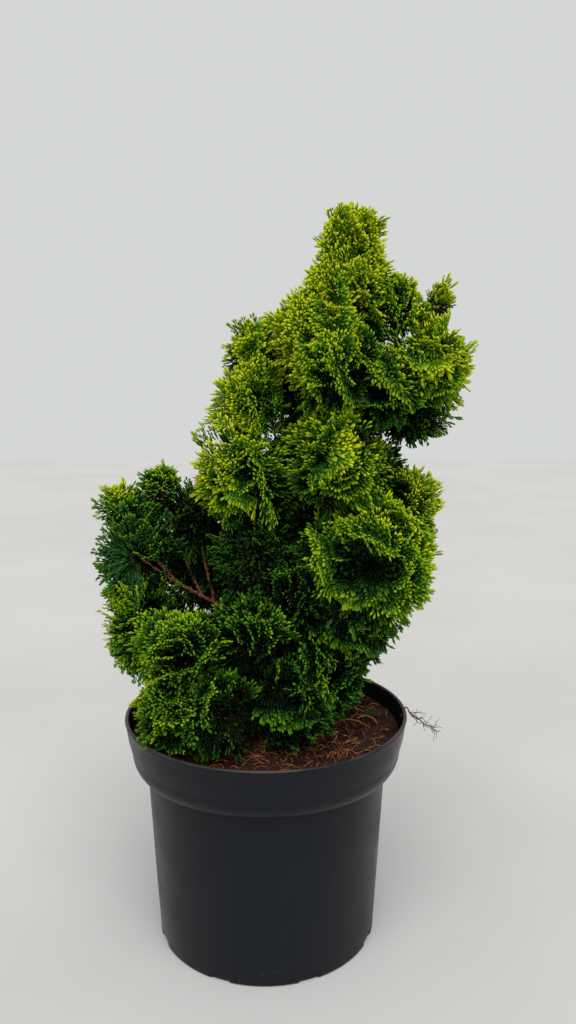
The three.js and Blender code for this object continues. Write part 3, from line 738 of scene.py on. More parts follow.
# Height over the underside of the pot, bearing in degrees, reach from the trunk's middle line, and
# half sizes across, deep and tall, in millimetres. Then how light the mass's green is, which is partly
# painted light and shade: masses that stand under, inside or at the back are mostly painted darker.
# Last, for a mass that grows from another's bough, which one and where along it.
MASSES = [
    ("crown_tip", 630, 0, 4, 30, 30, 34, YELLOW),
    ("crown_neck", 583, -111, 20, 37, 36, 33, YELLOW),
    ("upper_left", 543, -147, 50, 32, 38, 43, YELLOW),
    ("upper_front", 516, -108, 56, 29, 34, 41, BRIGHT),
    ("high_left", 532, 169, 90, 28, 30, 34, BRIGHT),
    ("right_shoulder", 573, -2, 35, 25, 33, 34, GREEN),
    ("right_high", 526, -14, 69, 38, 40, 35, YELLOW),
    ("right_shoot", 576, -4, 72, 16, 17, 25, YELLOW, "right_high", 0.72),
    ("right_under", 484, -3, 55, 36, 38, 25, DEEP),
    ("right_front", 506, -61, 55, 25, 30, 28, GREEN),
    ("mid_left_high", 488, -166, 88, 31, 35, 35, YELLOW),
    ("mid_left", 431, -155, 88, 40, 42, 38, BRIGHT),
    ("mid_front", 444, -94, 50, 35, 36, 42, BRIGHT),
    ("mid_right", 433, -11, 42, 27, 38, 32, GREEN),
    ("low_right_high", 402, -12, 73, 31, 38, 34, YELLOW),
    ("low_right", 355, -52, 80, 55, 52, 50, BRIGHT),
    ("right_inner", 345, 12, 62, 36, 34, 40, GREEN),
    ("low_right_under", 298, -31, 68, 36, 42, 33, GREEN),
    ("foot_right", 256, -42, 68, 34, 36, 34, GREEN),
    ("low_middle", 362, -150, 54, 40, 38, 46, DEEP),
    ("low_neck", 325, -101, 42, 28, 28, 33, DEEP),
    ("low_front", 290, -120, 62, 38, 38, 33, GREEN),
    ("left_fan", 352, 180, 153, 43, 36, 45, GREEN),
    ("left_high", 397, 180, 178, 26, 27, 20, BRIGHT, "left_fan", 0.75),
    ("left_mid_high", 412, 177, 150, 21, 26, 26, GREEN, "left_fan", 0.6),
    ("left_inner", 389, 173, 114, 24, 29, 32, DEEP, "left_fan", 0.5),
    ("left_low", 284, 179, 127, 35, 40, 43, BRIGHT, "left_fan", 0.4),
    ("left_behind", 345, 161, 103, 37, 27, 40, DEEP),
    ("foot_left", 284, -144, 107, 37, 42, 34, BRIGHT),
    ("foot_left_low", 231, -136, 100, 38, 38, 34, BRIGHT),
    ("foot_front", 234, -111, 86, 30, 32, 36, GREEN),
    ("foot_middle", 232, -73, 66, 36, 34, 37, GREEN),
    ("back_top", 564, 85, 38, 35, 36, 40, BRIGHT),
    ("back_high", 491, 87, 52, 43, 43, 43, GREEN),
    ("back_high_left", 505, 136, 68, 36, 38, 41, GREEN),
    ("back_mid", 423, 112, 66, 45, 44, 44, DEEP),
    ("back_mid_right", 404, 59, 66, 45, 44, 43, GREEN),
    ("back_low_left", 326, 142, 98, 46, 47, 47, DEEP),
    ("back_low", 321, 98, 70, 48, 45, 47, DEEP),
    ("back_low_right", 305, 47, 76, 47, 46, 46, GREEN),
    ("back_foot_left", 242, 124, 67, 43, 40, 39, DEEP),
    ("back_foot_right", 238, 50, 69, 43, 40, 38, DEEP),
]
BOUGH_DROP = 0.42
BOUGH_SAG = 0.12
BOUGH_REACH = 73 * MM
BOUGH_RADIUS = 1.9 * MM
BOUGH_RADIUS_PER_REACH = 0.006
BRANCH_SHARE = 0.85
STEM_RADIUS = 1.4 * MM
STEM_TIP_RADIUS = 0.7 * MM
LIMB_STEPS = 24
LIGHT_LIFT = 22 * MM
YOUNG_BARK = (0.20, 0.066, 0.026, 1)
YOUNG_BARK_DARK = (0.050, 0.017, 0.009, 1)
YOUNG_BARK_PALE = (0.36, 0.16, 0.075, 1)


def unit(vector):
    return vector / np.linalg.norm(vector)


def lay_out(rows):
    """Each mass's middle, half sizes, light and limb, by the source's rule."""
    laid = {}
    lowest = COMPOST_LEVEL / MM + FLARE_HEIGHT / MM
    for name, height, bearing, reach, across, deep, tall, tint, *carrier in rows:
        angle = math.radians(bearing)
        out = np.array([reach * MM * math.cos(angle), reach * MM * math.sin(angle), 0])
        centre = trunk_at(height * MM) + out
        start = trunk_at(max(height - reach * BOUGH_DROP, lowest) * MM)
        foot = STEM_RADIUS
        if carrier:
            parent, share_along = carrier
            start = laid[parent]["limb"][round(share_along * LIMB_STEPS)]
            foot = max(BRANCH_SHARE * np.interp(share_along, [0, 1], laid[parent]["girth"][[0, -1]]), foot)
        elif reach * MM > BOUGH_REACH:
            foot = BOUGH_RADIUS + BOUGH_RADIUS_PER_REACH * reach * MM
        elbow = (start + centre) / 2 - np.array([0, 0, np.linalg.norm(centre - start) * BOUGH_SAG])
        share = np.linspace(0, 1, LIMB_STEPS + 1)[:, None]
        laid[name] = {
            "name": name,
            "centre": centre,
            "half": np.array([across, deep, tall]) * MM,
            "tint": tint,
            "limb": (1 - share) ** 2 * start + 2 * share * (1 - share) * elbow + share ** 2 * centre,
            "girth": np.linspace(foot, STEM_TIP_RADIUS, LIMB_STEPS + 1),
            "light": unit(out + np.array([0, 0, LIGHT_LIFT])),
        }
    return laid


masses = lay_out(MASSES)
limb_lines = [mass["limb"] for mass in masses.values()]
limb_girths = [mass["girth"] for mass in masses.values()]
young_bark = stringy_bark("young_bark", YOUNG_BARK_DARK, YOUNG_BARK, YOUNG_BARK_PALE, 1)
boughs = grow_limbs(
    "boughs", limb_lines, limb_girths, young_bark,
    step=1.4 * MM, sides=10, relief=1.0 * MM, ridge=3.4 * MM, lengthwise=1,
)
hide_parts(*[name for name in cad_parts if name.endswith("_bough")])
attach(boughs, "root")


# ---------------------------------------------------------------- foliage
# Flattened shoots, clad in blunt scale leaves, branch in one plane and curl into cupped fans like the
# valves of a shell. Their rims turn yellow, partly as painted light where they face the light, and
# the shoots behind them are painted dark, as painted shade.

FIRST_SEED = 101
UPWARD = np.array([0.0, 0.0, 1.0])
# A shoot is a blunt club: its foot, three points round its widest place, and its tip.
SHOOT_LENGTH = 7.3 * MM
SHOOT_WIDTH = 2.5 * MM
SHOOT_THICKNESS = 1.7 * MM
SHOOT_SWELL = 0.76
CLUB = np.array([(0, 0, 0), (SHOOT_SWELL, 1, -0.5), (SHOOT_SWELL, 0, 1), (SHOOT_SWELL, -1, -0.5), (1, 0, 0)])
CLUB_FACES = np.array([(0, 2, 1), (0, 3, 2), (0, 1, 3), (4, 1, 2), (4, 2, 3), (4, 3, 1)])
CLUB_TIP_FACES = np.array([0, 0, 0, 1, 1, 1])


def clubs(starts, ends, normals, widths, thicknesses):
    """The points of many shoots at once: shoots by five points by three."""
    along = ends - starts
    side = np.cross(normals, along)
    side *= (widths / 2 / np.linalg.norm(side, axis=1))[:, None]
    up = np.cross(along, side)
    up *= (thicknesses / 2 / np.linalg.norm(up, axis=1))[:, None]
    ways = enumerate((along, side, up))
    return starts[:, None] + sum(CLUB[:, axis, None] * way[:, None] for axis, way in ways)


def spray(starts, ends, rows, widths):
    """The shoots of one spray as points, and how many rows behind its rim each one is."""
    starts = np.concatenate(starts)
    widths = np.concatenate(widths)
    normals = np.tile(UPWARD, (len(starts), 1))
    points = clubs(starts, np.concatenate(ends), normals, widths, widths * SHOOT_THICKNESS / SHOOT_WIDTH)
    return points, np.concatenate(rows)


# A fan: rows of shoots behind its rim, parted into sprigs, on ribs that part at its foot.
SHOOT_PITCH = 2.8 * MM
SHOOT_STRAY = 0.15
SHOOT_LENGTHS = (0.9, 1.15)
TIP_STRAY = 0.1
ROW_PITCH = 4.1 * MM
ROW_OFFSETS = (0.25, 0.75)
MOST_ROWS = 4
SPRIG_WIDTH = 8.5 * MM
SPRIG_DEPTH = 4.4 * MM
SPRIG_STRAY = 1.6 * MM
SPRIG_SPREAD = 0.55
SPRIG_SHIFT = 0.37
MOST_SPRIGS = 40
RIM_THICKNESS = 0.9 * MM
RIM_LIFTS = (0.2, 1)
RIB_COUNT = 5
RIB_STEPS = 2
RIB_WIDTH = 1.3 * MM
RIB_SPREAD = 0.8
RIB_REACH = 0.85
RIB_ROW = 2
BARE_FOOT = 0.36
FAN_HALF_ANGLE = math.radians(42)
FAN_ROUNDING = 0.12
FAN_CUP = 0.2
FAN_CURL = 0.3
FAN_RUFFLE = 0.09
# How many ruffles a fan has to a full turn, and how high they are.
RUFFLES = ((5, 1), (9, 0.5))
FAN_LENGTHS = [20 * MM, 27 * MM, 35 * MM, 45 * MM, 58 * MM]
MIDDLE_SIZE = 2
FAN_KINDS = 4


def fan(length, rng, coarse=1.0):
    """One fan of shoots, grown from the origin along +X. Each row of them is parted into small sprigs."""
    phases = rng.uniform(0, 2 * math.pi, 2)
    shoot = SHOOT_LENGTH * coarse
    sprig = SPRIG_WIDTH * coarse / length
    sprig_stray = rng.normal(0, SPRIG_STRAY, MOST_SPRIGS)

    def curled(radius, angle):
        """Points of the flat fan, lifted into a ruffled shell."""
        part = radius / length
        radius = radius * (1 - FAN_ROUNDING * (angle / FAN_HALF_ANGLE) ** 2)
        x = radius * np.cos(angle)
        y = radius * np.sin(angle)
        ruffle = sum(high * np.sin(many * angle + phase) for (many, high), phase in zip(RUFFLES, phases))
        z = length * (FAN_CUP * part ** 2 + FAN_CURL * (y / length) ** 2 + FAN_RUFFLE * ruffle * part ** 2)
        return np.stack([x, y, z], axis=-1)

    starts, ends, rows, widths = [], [], [], []
    row = 0
    while (tip := length - row * ROW_PITCH * coarse) - shoot > BARE_FOOT * length and row < MOST_ROWS:
        count = max(round(2 * FAN_HALF_ANGLE * tip / (SHOOT_PITCH * coarse)), 2)
        angle = ((np.arange(count) + ROW_OFFSETS[row % 2]) / count * 2 - 1) * FAN_HALF_ANGLE
        angle += rng.normal(0, SHOOT_STRAY * SHOOT_PITCH / length, count)
        sprigs = angle / sprig + row * SPRIG_SHIFT + phases[0]
        off_middle = sprigs % 1 - 0.5
        outer = tip - SPRIG_DEPTH * coarse * (2 * off_middle) ** 2 + rng.normal(0, TIP_STRAY * shoot, count)
        outer += sprig_stray[np.floor(sprigs).astype(int)]
        inner = tip - shoot * rng.uniform(*SHOOT_LENGTHS, count)
        end = curled(outer, angle)
        up_or_down = np.arange(count) % 2 * 2 - 1
        end[:, 2] += RIM_THICKNESS * coarse * up_or_down * rng.uniform(*RIM_LIFTS, count)
        starts.append(curled(inner, angle - SPRIG_SPREAD * off_middle * sprig))
        ends.append(end)
        rows.append(np.full(count, row))
        widths.append(np.full(count, SHOOT_WIDTH * coarse))
        row += 1
    for angle in np.linspace(-RIB_SPREAD, RIB_SPREAD, RIB_COUNT) * FAN_HALF_ANGLE:
        rib = curled(np.linspace(0, RIB_REACH, RIB_STEPS + 1) * length, np.full(RIB_STEPS + 1, angle))
        starts.append(rib[:-1])
        ends.append(rib[1:])
        rows.append(np.full(RIB_STEPS, RIB_ROW))
        widths.append(np.full(RIB_STEPS, RIB_WIDTH * coarse))
    return spray(starts, ends, rows, widths)


# A plume: finer forked shoots, to the left and the right of one bending rib.
PLUME_SHOOT = 10 * MM
PLUME_WIDTH = 1.75 * MM
PLUME_PITCH = 2.3 * MM
PLUME_ANGLE = math.radians(30)
PLUME_ANGLE_STRAY = 0.12
PLUME_BEND = 0.16
PLUME_CLAD = (0.12, 0.93)
PLUME_TAPER = 0.45
PLUME_SHOOT_LENGTHS = (0.8, 1.15)
PLUME_LIFT = (0.1, 0.12)
FORK_PLACE = 0.45
FORK_TURN = 0.5
FORK_LENGTH = 0.6
PLUME_ROW_ENDS = (0.3, 0.6)
PLUME_RIB_ROWS = np.array([2, 2, 2, 1, 1, 0])


def plume(length, rng):
    """One long feather of fine shoots on a bending rib, grown from the origin along +X."""
    bend = rng.uniform(-PLUME_BEND, PLUME_BEND)

    def on_rib(share):
        zeros = np.zeros_like(share)
        return length * np.stack([share, bend * share ** 2, zeros + FAN_CUP * share ** 2], axis=-1)

    first, last = PLUME_CLAD
    share = np.arange(first * length, last * length, PLUME_PITCH) / length
    hand = np.arange(len(share)) % 2 * 2 - 1
    turn = hand * (PLUME_ANGLE + rng.normal(0, PLUME_ANGLE_STRAY, len(share))) + 2 * bend * share
    reach = PLUME_SHOOT * (1 - PLUME_TAPER * share ** 3) * rng.uniform(*PLUME_SHOOT_LENGTHS, len(share))
    lift = rng.normal(*PLUME_LIFT, len(share))
    start = on_rib(share)
    end = start + reach[:, None] * np.stack([np.cos(turn), np.sin(turn), lift], axis=-1)
    fork = start + FORK_PLACE * (end - start)
    twist = turn - FORK_TURN * hand
    forked = fork + FORK_LENGTH * reach[:, None] * np.stack([np.cos(twist), np.sin(twist), lift], axis=-1)
    rib = on_rib(np.linspace(0, 1, len(PLUME_RIB_ROWS) + 1))
    depth = len(PLUME_ROW_ENDS) - sum((share > end_of_row).astype(int) for end_of_row in PLUME_ROW_ENDS)
    fine = np.full(len(share), PLUME_WIDTH)
    thick = np.full(len(PLUME_RIB_ROWS), RIB_WIDTH)
    starts = [start, fork, rib[:-1]]
    ends = [end, forked, rib[1:]]
    return spray(starts, ends, [depth, depth, PLUME_RIB_ROWS], [fine, fine, thick])


leaf_rng = np.random.default_rng(FIRST_SEED)
fans = [[fan(length, leaf_rng) for _ in range(FAN_KINDS)] for length in FAN_LENGTHS]
plumes = [[plume(length, leaf_rng) for _ in range(FAN_KINDS)] for length in FAN_LENGTHS]
# Coarser fans for the inside of a mass, painted dark green as shade.
SHADE_GROWTH = 1.8
shade_length = FAN_LENGTHS[MIDDLE_SIZE]
shade_fans = [fan(shade_length, leaf_rng, SHADE_GROWTH) for _ in range(FAN_KINDS)]

# How the fans of a mass stand: in wavy rings round its heart, one every so far along each ring.
RIDGE_PITCH = 14.5 * MM
RIDGE_PITCH_SHARE = 0.45
RIDGE_WAVE = 0.28
RIDGE_WAVES = ((2, 1), (3, 0.6))
RIDGE_JITTER = 0.13
ASKEW = (0.31, 0.52, 0.79)
FAN_STEP = 24 * MM
FAN_STEP_SHARE = 0.62
FAN_STEP_STRAY = 0.25
PLUME_STEP = 9 * MM
RIDGE_TINT_SPREAD = 0.1
# Masses made of plumes, and how far apart these stand as a share of the usual.
PLUMED = {
    "left_fan": 0.75, "left_low": 0.75, "left_inner": 1, "left_behind": 1, "right_under": 1, "low_middle": 1,
}


def ridges(mass, heart, rng):
    """Directions from the middle of a mass where its fans stand, in rings round its heart."""
    across = unit(np.cross(heart, ASKEW))
    onward = np.cross(heart, across)
    radius = np.mean(mass["half"])
    ring_count = round(math.pi * radius / min(RIDGE_PITCH, RIDGE_PITCH_SHARE * radius))
    phases = rng.uniform(0, 2 * math.pi, 2)
    spacing = min(FAN_STEP, FAN_STEP_SHARE * radius)
    if mass["name"] in PLUMED:
        spacing = PLUMED[mass["name"]] * PLUME_STEP
    for ring in range(ring_count):
        polar = math.pi * (ring + 0.5) / ring_count
        count = max(round(2 * math.pi * radius * math.sin(polar) / spacing), 2)
        first = rng.uniform(0, 2 * math.pi)
        tint = rng.normal(0, RIDGE_TINT_SPREAD)
        for place in range(count):
            stray = rng.uniform(-FAN_STEP_STRAY, FAN_STEP_STRAY)
            turn = first + 2 * math.pi * (place + stray) / count
            waves = zip(RIDGE_WAVES, phases)
            wave = sum(high * math.sin(many * turn + phase) for (many, high), phase in waves)
            angle = polar + RIDGE_WAVE * wave * math.sin(polar) + rng.normal(0, RIDGE_JITTER)
            flat = math.cos(turn) * across + math.sin(turn) * onward
            yield math.sin(angle) * flat + math.cos(angle) * heart, tint


def turned_about(vector, axis, angle):
    """A vector turned round a unit axis."""
    cross = np.cross(axis, vector)
    upright = axis * (axis @ vector)
    return vector * math.cos(angle) + cross * math.sin(angle) + upright * (1 - math.cos(angle))


# How much of a vector's part along an axis is taken out of it.
OFF_AXIS = 0.8


def turned_off(vector, axis):
    """A vector without most of its part along a unit axis."""
    return vector - OFF_AXIS * (vector @ axis) * axis


# How far a fan leans away from the heart, lifts, strays, sways and rolls.
FAN_LEAN = math.radians(22)
FAN_LIFT = 0.4
FAN_STRAY = 0.1
FAN_SWAY = 0.3
FAN_ROLL = 0.3


def fan_axes(direction, heart, pull, rng):
    """The growth, the side and the hollow face of a fan, which turns its hollow to the heart of its mass."""
    side = unit(np.cross(heart, direction))
    side = turned_about(side, direction, rng.normal(0, FAN_SWAY))
    away = np.cross(side, direction)
    away *= -1 if away @ heart > 0 else 1
    growth = direction * math.cos(FAN_LEAN) + away * math.sin(FAN_LEAN)
    growth += pull + rng.normal(0, FAN_STRAY, 3) + FAN_LIFT * direction[2] * UPWARD
    growth = unit(growth)
    hollow = unit(np.cross(growth, side))
    hollow *= -1 if hollow @ away > 0 else 1
    hollow = turned_about(hollow, growth, rng.normal(0, FAN_ROLL))
    return np.array([growth, np.cross(hollow, growth), hollow])


def growth_room(mass, root, growth, share):
    """How far a fan can grow from its root before its tip reaches a share of the mass's own size."""
    start = (root - mass["centre"]) / mass["half"]
    step = growth / mass["half"]
    along = start @ step
    square = step @ step
    return (math.sqrt(along ** 2 - square * (start @ start - share ** 2)) - along) / square


def depth_in_others(point, mass):
    """How deep a point lies in another mass: 0 at its middle, 1 at its surface."""
    others = (other for other in masses.values() if other is not mass)
    return min(np.linalg.norm((point - other["centre"]) / other["half"]) for other in others)


# From the darkest, painted shade deep in a mass, to the yellow of new growth, lightened as painted
# light where it stands in full light, and the blue-green of a mass in the shade, also painted shade:
# each one's slot, and the colours of a shoot's foot and tip.
GREENS = {
    "shade": ("foliage_deep", (0.0030, 0.0105, 0.0020, 1), (0.0070, 0.0260, 0.0035, 1)),
    "deep": ("foliage_deep", (0.0200, 0.0800, 0.0055, 1), (0.0350, 0.1300, 0.0080, 1)),
    "green": ("foliage_green", (0.0720, 0.2000, 0.0055, 1), (0.1080, 0.2650, 0.0075, 1)),
    "lime": ("foliage_bright", (0.2000, 0.3500, 0.0060, 1), (0.2700, 0.4150, 0.0080, 1)),
    "yellow": ("foliage_yellow", (0.3800, 0.4800, 0.0060, 1), (0.5100, 0.5800, 0.0110, 1)),
    "shade_blue": ("foliage_green", (0.0280, 0.1050, 0.0240, 1), (0.0520, 0.1750, 0.0340, 1)),
}
# How light a rim has to be to turn green, lime and yellow, and how its lightness varies: at random, and
# as painted light from above, lighter where a fan faces up and the higher it stands over a level. Then
# how many rows behind it are painted darker, as painted shade.
TINT_STEPS = (0.26, 0.48, 0.78)
TINT_SPREAD = 0.07
PAINTED_UPWARD_LIGHT = 0.2
PAINTED_LIGHT_WITH_HEIGHT = 1.05
TINT_LEVEL = 0.41
PAINTED_SHADE_ROWS = 2
# The mass painted blue-green, as painted shade, keeps green rims where it faces left by more than this.
SHADE_BLUE_EDGE = -0.3
grown = {green: [] for green in GREENS}
green_names = list(GREENS)
twig_starts, twig_ends = [], []


def place_fan(template, root, axes, scale, row_greens):
    """Plants one fan, its rows coloured from the rim back."""
    points, rows = template
    placed = root + (points * scale) @ axes
    for row in range(rows.max() + 1):
        grown[row_greens[min(row, len(row_greens) - 1)]].append(placed[rows == row])


def fitting_fan(templates, root, axes, length, row_greens, kind):
    """Plants the fan whose own length is nearest, scaled to fit."""
    size = int(np.argmin(np.abs(np.array(FAN_LENGTHS) - length)))
    place_fan(templates[size][kind], root, axes, length / FAN_LENGTHS[size], row_greens)


def greens_for(light, shaded_rows=PAINTED_SHADE_ROWS):
    """The greens of a fan's rows: lighter the more painted light it gets, and a shade darker with each row
    back, as painted shade.
    """
    rim = 1 + sum(light > step for step in TINT_STEPS)
    return [green_names[max(rim - row, 0)] for row in range(shaded_rows + 1)]


def tint_at(tint, place, gain=1):
    """How light a tint is at a place: foliage is painted lighter with height, as painted light from above.
    """
    return tint + gain * PAINTED_LIGHT_WITH_HEIGHT * (place[2] - TINT_LEVEL)


# Masses whose fans stand in rings round a heart that shows: which way it faces, how far it lies open as
# the cosine of half its opening, and which way the fans are drawn. The rest have theirs at random.
FORMS = {
    "crown_tip": ((0.15, -1, 0), 0.97, (0, 0, 0.9)),
    "crown_neck": ((-0.8, -0.5, 0), 0.97, (0, 0, 0.95)),
    "right_shoulder": ((-0.7, -0.5, -0.2), 1, (0.2, 0, 0.7)),
    "right_shoot": ((0.3, -0.9, -0.2), 0.95, (0.5, 0, 1.6)),
    "upper_left": ((-0.8, -0.3, 0.4), 1, (-0.25, 0, 0.75)),
    "upper_front": ((0.8, -0.25, -0.4), 1, (-0.2, 0, 0.8)),
    "high_left": ((0.3, -0.9, -0.3), 0.9, (0, 0, 0.3)),
    "right_high": ((-0.3, -0.5, 0.8), 0.97, (0.45, -0.1, -0.1)),
    "right_front": ((0.6, -0.3, 0.7), 1, (0.5, -0.1, -0.5)),
    "right_under": ((-0.2, -0.5, 0.8), 1, (0.2, 0, -0.5)),
    "mid_left_high": ((0.8, -0.45, 0.4), 1, (-0.3, 0, 0.7)),
    "mid_left": ((0.9, 0.1, 0.4), 1, (-0.1, -0.25, -0.3)),
    "mid_front": ((-0.8, -0.3, 0.5), 1, (-0.35, -0.1, -0.45)),
    "low_right_high": ((-0.4, -0.9, -0.2), 0.85, (0.3, 0, 0.35)),
    "low_right": ((-0.2, -0.93, 0.25), 0.9, (0.05, 0.2, -0.2)),
    "low_right_under": ((-0.2, -0.6, 0.75), 1, (0.15, 0, -0.5)),
    "foot_right": ((-0.3, -0.6, 0.75), 1, (0.1, 0, -0.4)),
    "left_high": ((0.3, -0.8, -0.5), 0.97, (0, 0, 0.3)),
    "left_mid_high": ((0.0, -0.9, -0.4), 0.97, (0, 0, 0.2)),
    "left_fan": ((0.1, -1, 0.1), 0.6, (0, 0, 0)),
    "left_low": ((0.5, -0.8, 0.3), 0.85, (-0.2, 0, -0.2)),
    "foot_left": ((0.1, -0.9, -0.3), 0.95, (0, -0.1, 0.3)),
}
# The heart wanders from fan to fan: how far, and how quickly with their direction.
HEART_DRIFT = 0.95
DRIFT_CHANGE = 3.0
# Where it wanders less than in other masses.
HEART_DRIFTS = {"low_right": 0.55}
# Where a few fans of a mass have grown out beyond the rest.
SPURS = {
    "mid_left": [(-0.8, -0.1, 0.6)],
    "left_high": [(-0.8, -0.2, 0.7)],
    "right_shoot": [(0.5, -0.1, 1)],
    "mid_left_high": [(-0.85, -0.1, 0.5)],
    "upper_front": [(0.2, -0.8, -0.5)],
}
SPUR_WIDTH = 0.87
SPUR_REACH = 0.2
# Where a mass lies open to its bare bough, or to the gap round the trunk's foot: which way, and the
# cosine of half the opening.
WAYS_IN = {
    "left_fan": ((0.75, -0.4, -0.5), 0.62), "foot_front": ((0.8, -0.4, 0.45), 0.5),
    "foot_middle": ((-0.8, -0.4, 0.4), 0.35), "low_front": ((0.5, -0.6, -0.6), 0.65),
}
NEVER = 2
# Masses painted lighter on one side, as painted light: which way, and by how much.
PAINTED_SIDE_LIGHTS = {
    "mid_front": (0.22, 0, 0.16), "mid_left": (-0.32, 0, 0.2), "mid_left_high": (-0.4, 0, 0.15),
    "upper_left": (-0.18, 0, 0), "low_middle": (0, 0, 0.1), "low_right": (0.14, 0, 0.16),
    "right_under": (0.12, 0, -0.05), "left_low": (-0.25, 0, 0.05), "left_high": (-0.1, 0, 0.25),
    "upper_front": (-0.22, 0, 0.12), "right_front": (-0.05, 0, 0.22), "right_high": (0.3, 0, 0.15),
    "crown_neck": (-0.1, 0, 0.05), "right_shoulder": (0.1, 0, 0.15), "high_left": (-0.15, 0, 0.25),
    "low_front": (0, -0.1, 0.1), "low_right_high": (0.3, 0, 0.25),
}
# How far the fans of a mass reach, as a share of the usual. Some are kept short, a few spread further.
REACHES = {
    "crown_tip": 0.92, "crown_neck": 0.97, "right_shoulder": 0.88, "right_shoot": 0.76, "high_left": 0.92,
    "right_high": 0.96, "right_under": 0.93, "mid_right": 0.8, "low_right_high": 0.9,
    "back_mid_right": 0.9, "low_right_under": 0.94, "foot_right": 0.92, "left_mid_high": 0.97,
    "left_high": 1.08, "left_low": 1.02,
}
# Masses that stand free, so that none of their fans reaches further into another.
FREE = (
    "crown_tip", "right_shoulder", "right_shoot", "mid_right", "low_right_under", "foot_right",
    "left_high", "left_mid_high", "upper_left",
)
# How steeply a fan has to hang to be a plume, and how many of those are.
HANGING = -0.35
HANGING_SHARE = 0.6
# Where a fan is rooted between the middle and the surface of its mass, how strongly it is drawn to the
# light, and how far it reaches.
FAN_ROOT = (-0.1, 0.5)
DEEP_ROOT = 0.1
FAN_TO_LIGHT = 0.2
FAN_REACH = 0.965
FAN_REACH_JITTER = 0.22
FAN_TUFTS = 0.12
TUFT_CHANGE = 3.2
# Fans beside another mass reach further, into the gap. None grows where another mass buries it, and on
# the side away from the light it is sooner buried.
SHELTERED_REACH = 0.28
SHELTER = 1.28
BURIED = 0.7
DARKEST = -0.4
# A mass is painted darker, as painted shade, over fewer rows behind its rims above each of these.
BRIGHT_LEVELS = (0.74, 0.98)
# Coarse fans, painted near black as shade, fill the inside of each mass: one for every so many places
# of its outer fans.
SHADE_REACH = 0.8
PLUMED_SHADE_REACH = 0.92
SHADE_EVERY = 3
PLUMED_SHADE_EVERY = 2
# A mass that lies open wider than this has its painted-shade fans at the back alone.
WIDE_OPEN = 0.7
BARE_INSIDE = -0.3
TWIG_REACH = 0.3

for index, (name, mass) in enumerate(masses.items()):
    rng = np.random.default_rng(FIRST_SEED + index)
    heart = turned_off(rng.normal(0, 1, 3), mass["light"])
    heart, opening, pull = FORMS.get(name, (heart, 1, FAN_TO_LIGHT * mass["light"]))
    heart = unit(np.array(heart))
    tufts = rng.normal(0, TUFT_CHANGE, (2, 3))
    drift = rng.normal(0, DRIFT_CHANGE, (3, 3))
    heart_drift = HEART_DRIFTS.get(name, 1) * HEART_DRIFT
    tint = tint_at(mass["tint"], mass["centre"])
    shaded_rows = PAINTED_SHADE_ROWS - sum(tint > level for level in BRIGHT_LEVELS)
    way_in, width = WAYS_IN.get(name, (UPWARD, NEVER))
    for direction, ridge_tint in ridges(mass, heart, rng):
        templates = plumes if name in PLUMED else fans
        near_heart = heart + heart_drift * np.sin(drift @ direction + tufts[0])
        axes = fan_axes(direction, unit(near_heart), pull, rng)
        reach = 1 / np.linalg.norm(direction / mass["half"])
        root = mass["centre"] + direction * reach * rng.uniform(*FAN_ROOT)
        if name == "left_fan":
            root = mass["centre"] + DEEP_ROOT * direction * reach
        stretch = FAN_REACH + (rng.random() - 0.5) * FAN_REACH_JITTER
        stretch += FAN_TUFTS * math.sin(tufts[0] @ direction) * math.cos(tufts[1] @ direction)
        kind = rng.integers(FAN_KINDS)
        # How light the rim is: the mass's green, painted lighter with height, on its lit side and where the
        # fan faces up, as painted light, with random strays.
        light = tint + ridge_tint + direction @ PAINTED_SIDE_LIGHTS.get(name, (0, 0, 0))
        light += PAINTED_UPWARD_LIGHT * direction[2]
        light += rng.normal(0, TINT_SPREAD)
        shelter = depth_in_others(mass["centre"] + direction * reach * (FAN_REACH + SHELTERED_REACH), mass)
        if direction @ way_in > width:
            continue
        if direction @ heart > opening or (direction @ mass["light"] < DARKEST and shelter < 1):
            continue
        if depth_in_others(mass["centre"] + direction * reach, mass) < BURIED:
            continue
        if shelter < SHELTER and name not in FREE:
            stretch += SHELTERED_REACH
        if any(direction @ spur > SPUR_WIDTH * np.linalg.norm(spur) for spur in SPURS.get(name, [])):
            stretch += SPUR_REACH
        stretch *= REACHES.get(name, 1)
        length = growth_room(mass, root, axes[0], stretch)
        if direction[2] < HANGING and rng.random() < HANGING_SHARE:
            templates = plumes
        row_greens = greens_for(light, shaded_rows)
        # The open left mass is painted blue-green as shade, except the rims that face left, which keep their
        # rim green.
        if name == "left_fan":
            rim = row_greens[:1] if direction[0] < SHADE_BLUE_EDGE else []
            row_greens = [*rim, "shade_blue"]
        fitting_fan(templates, root, axes, length, row_greens, kind)
        twig_starts.append(mass["centre"])
        twig_ends.append(root + axes[0] * length * TWIG_REACH)
    every = PLUMED_SHADE_EVERY if name in PLUMED else SHADE_EVERY
    inside = opening if opening > WIDE_OPEN else BARE_INSIDE
    shade_reach = PLUMED_SHADE_REACH if name in PLUMED else SHADE_REACH
    # The inside fans are painted shade: near black, with a deep green front row in the lightest masses.
    row_greens = ["deep", "shade"] if tint > YELLOW else ["shade"]
    shade_heart = unit(rng.normal(0, 1, 3))
    for direction, _ in list(ridges(mass, shade_heart, rng))[::every]:
        if direction @ heart > inside or direction @ way_in > width:
            continue
        axes = fan_axes(direction, heart, 0, rng)
        reach = 1 / np.linalg.norm(direction / mass["half"])
        kind = rng.integers(FAN_KINDS)
        place_fan(shade_fans[kind], mass["centre"], axes, reach * shade_reach / shade_length, row_greens)

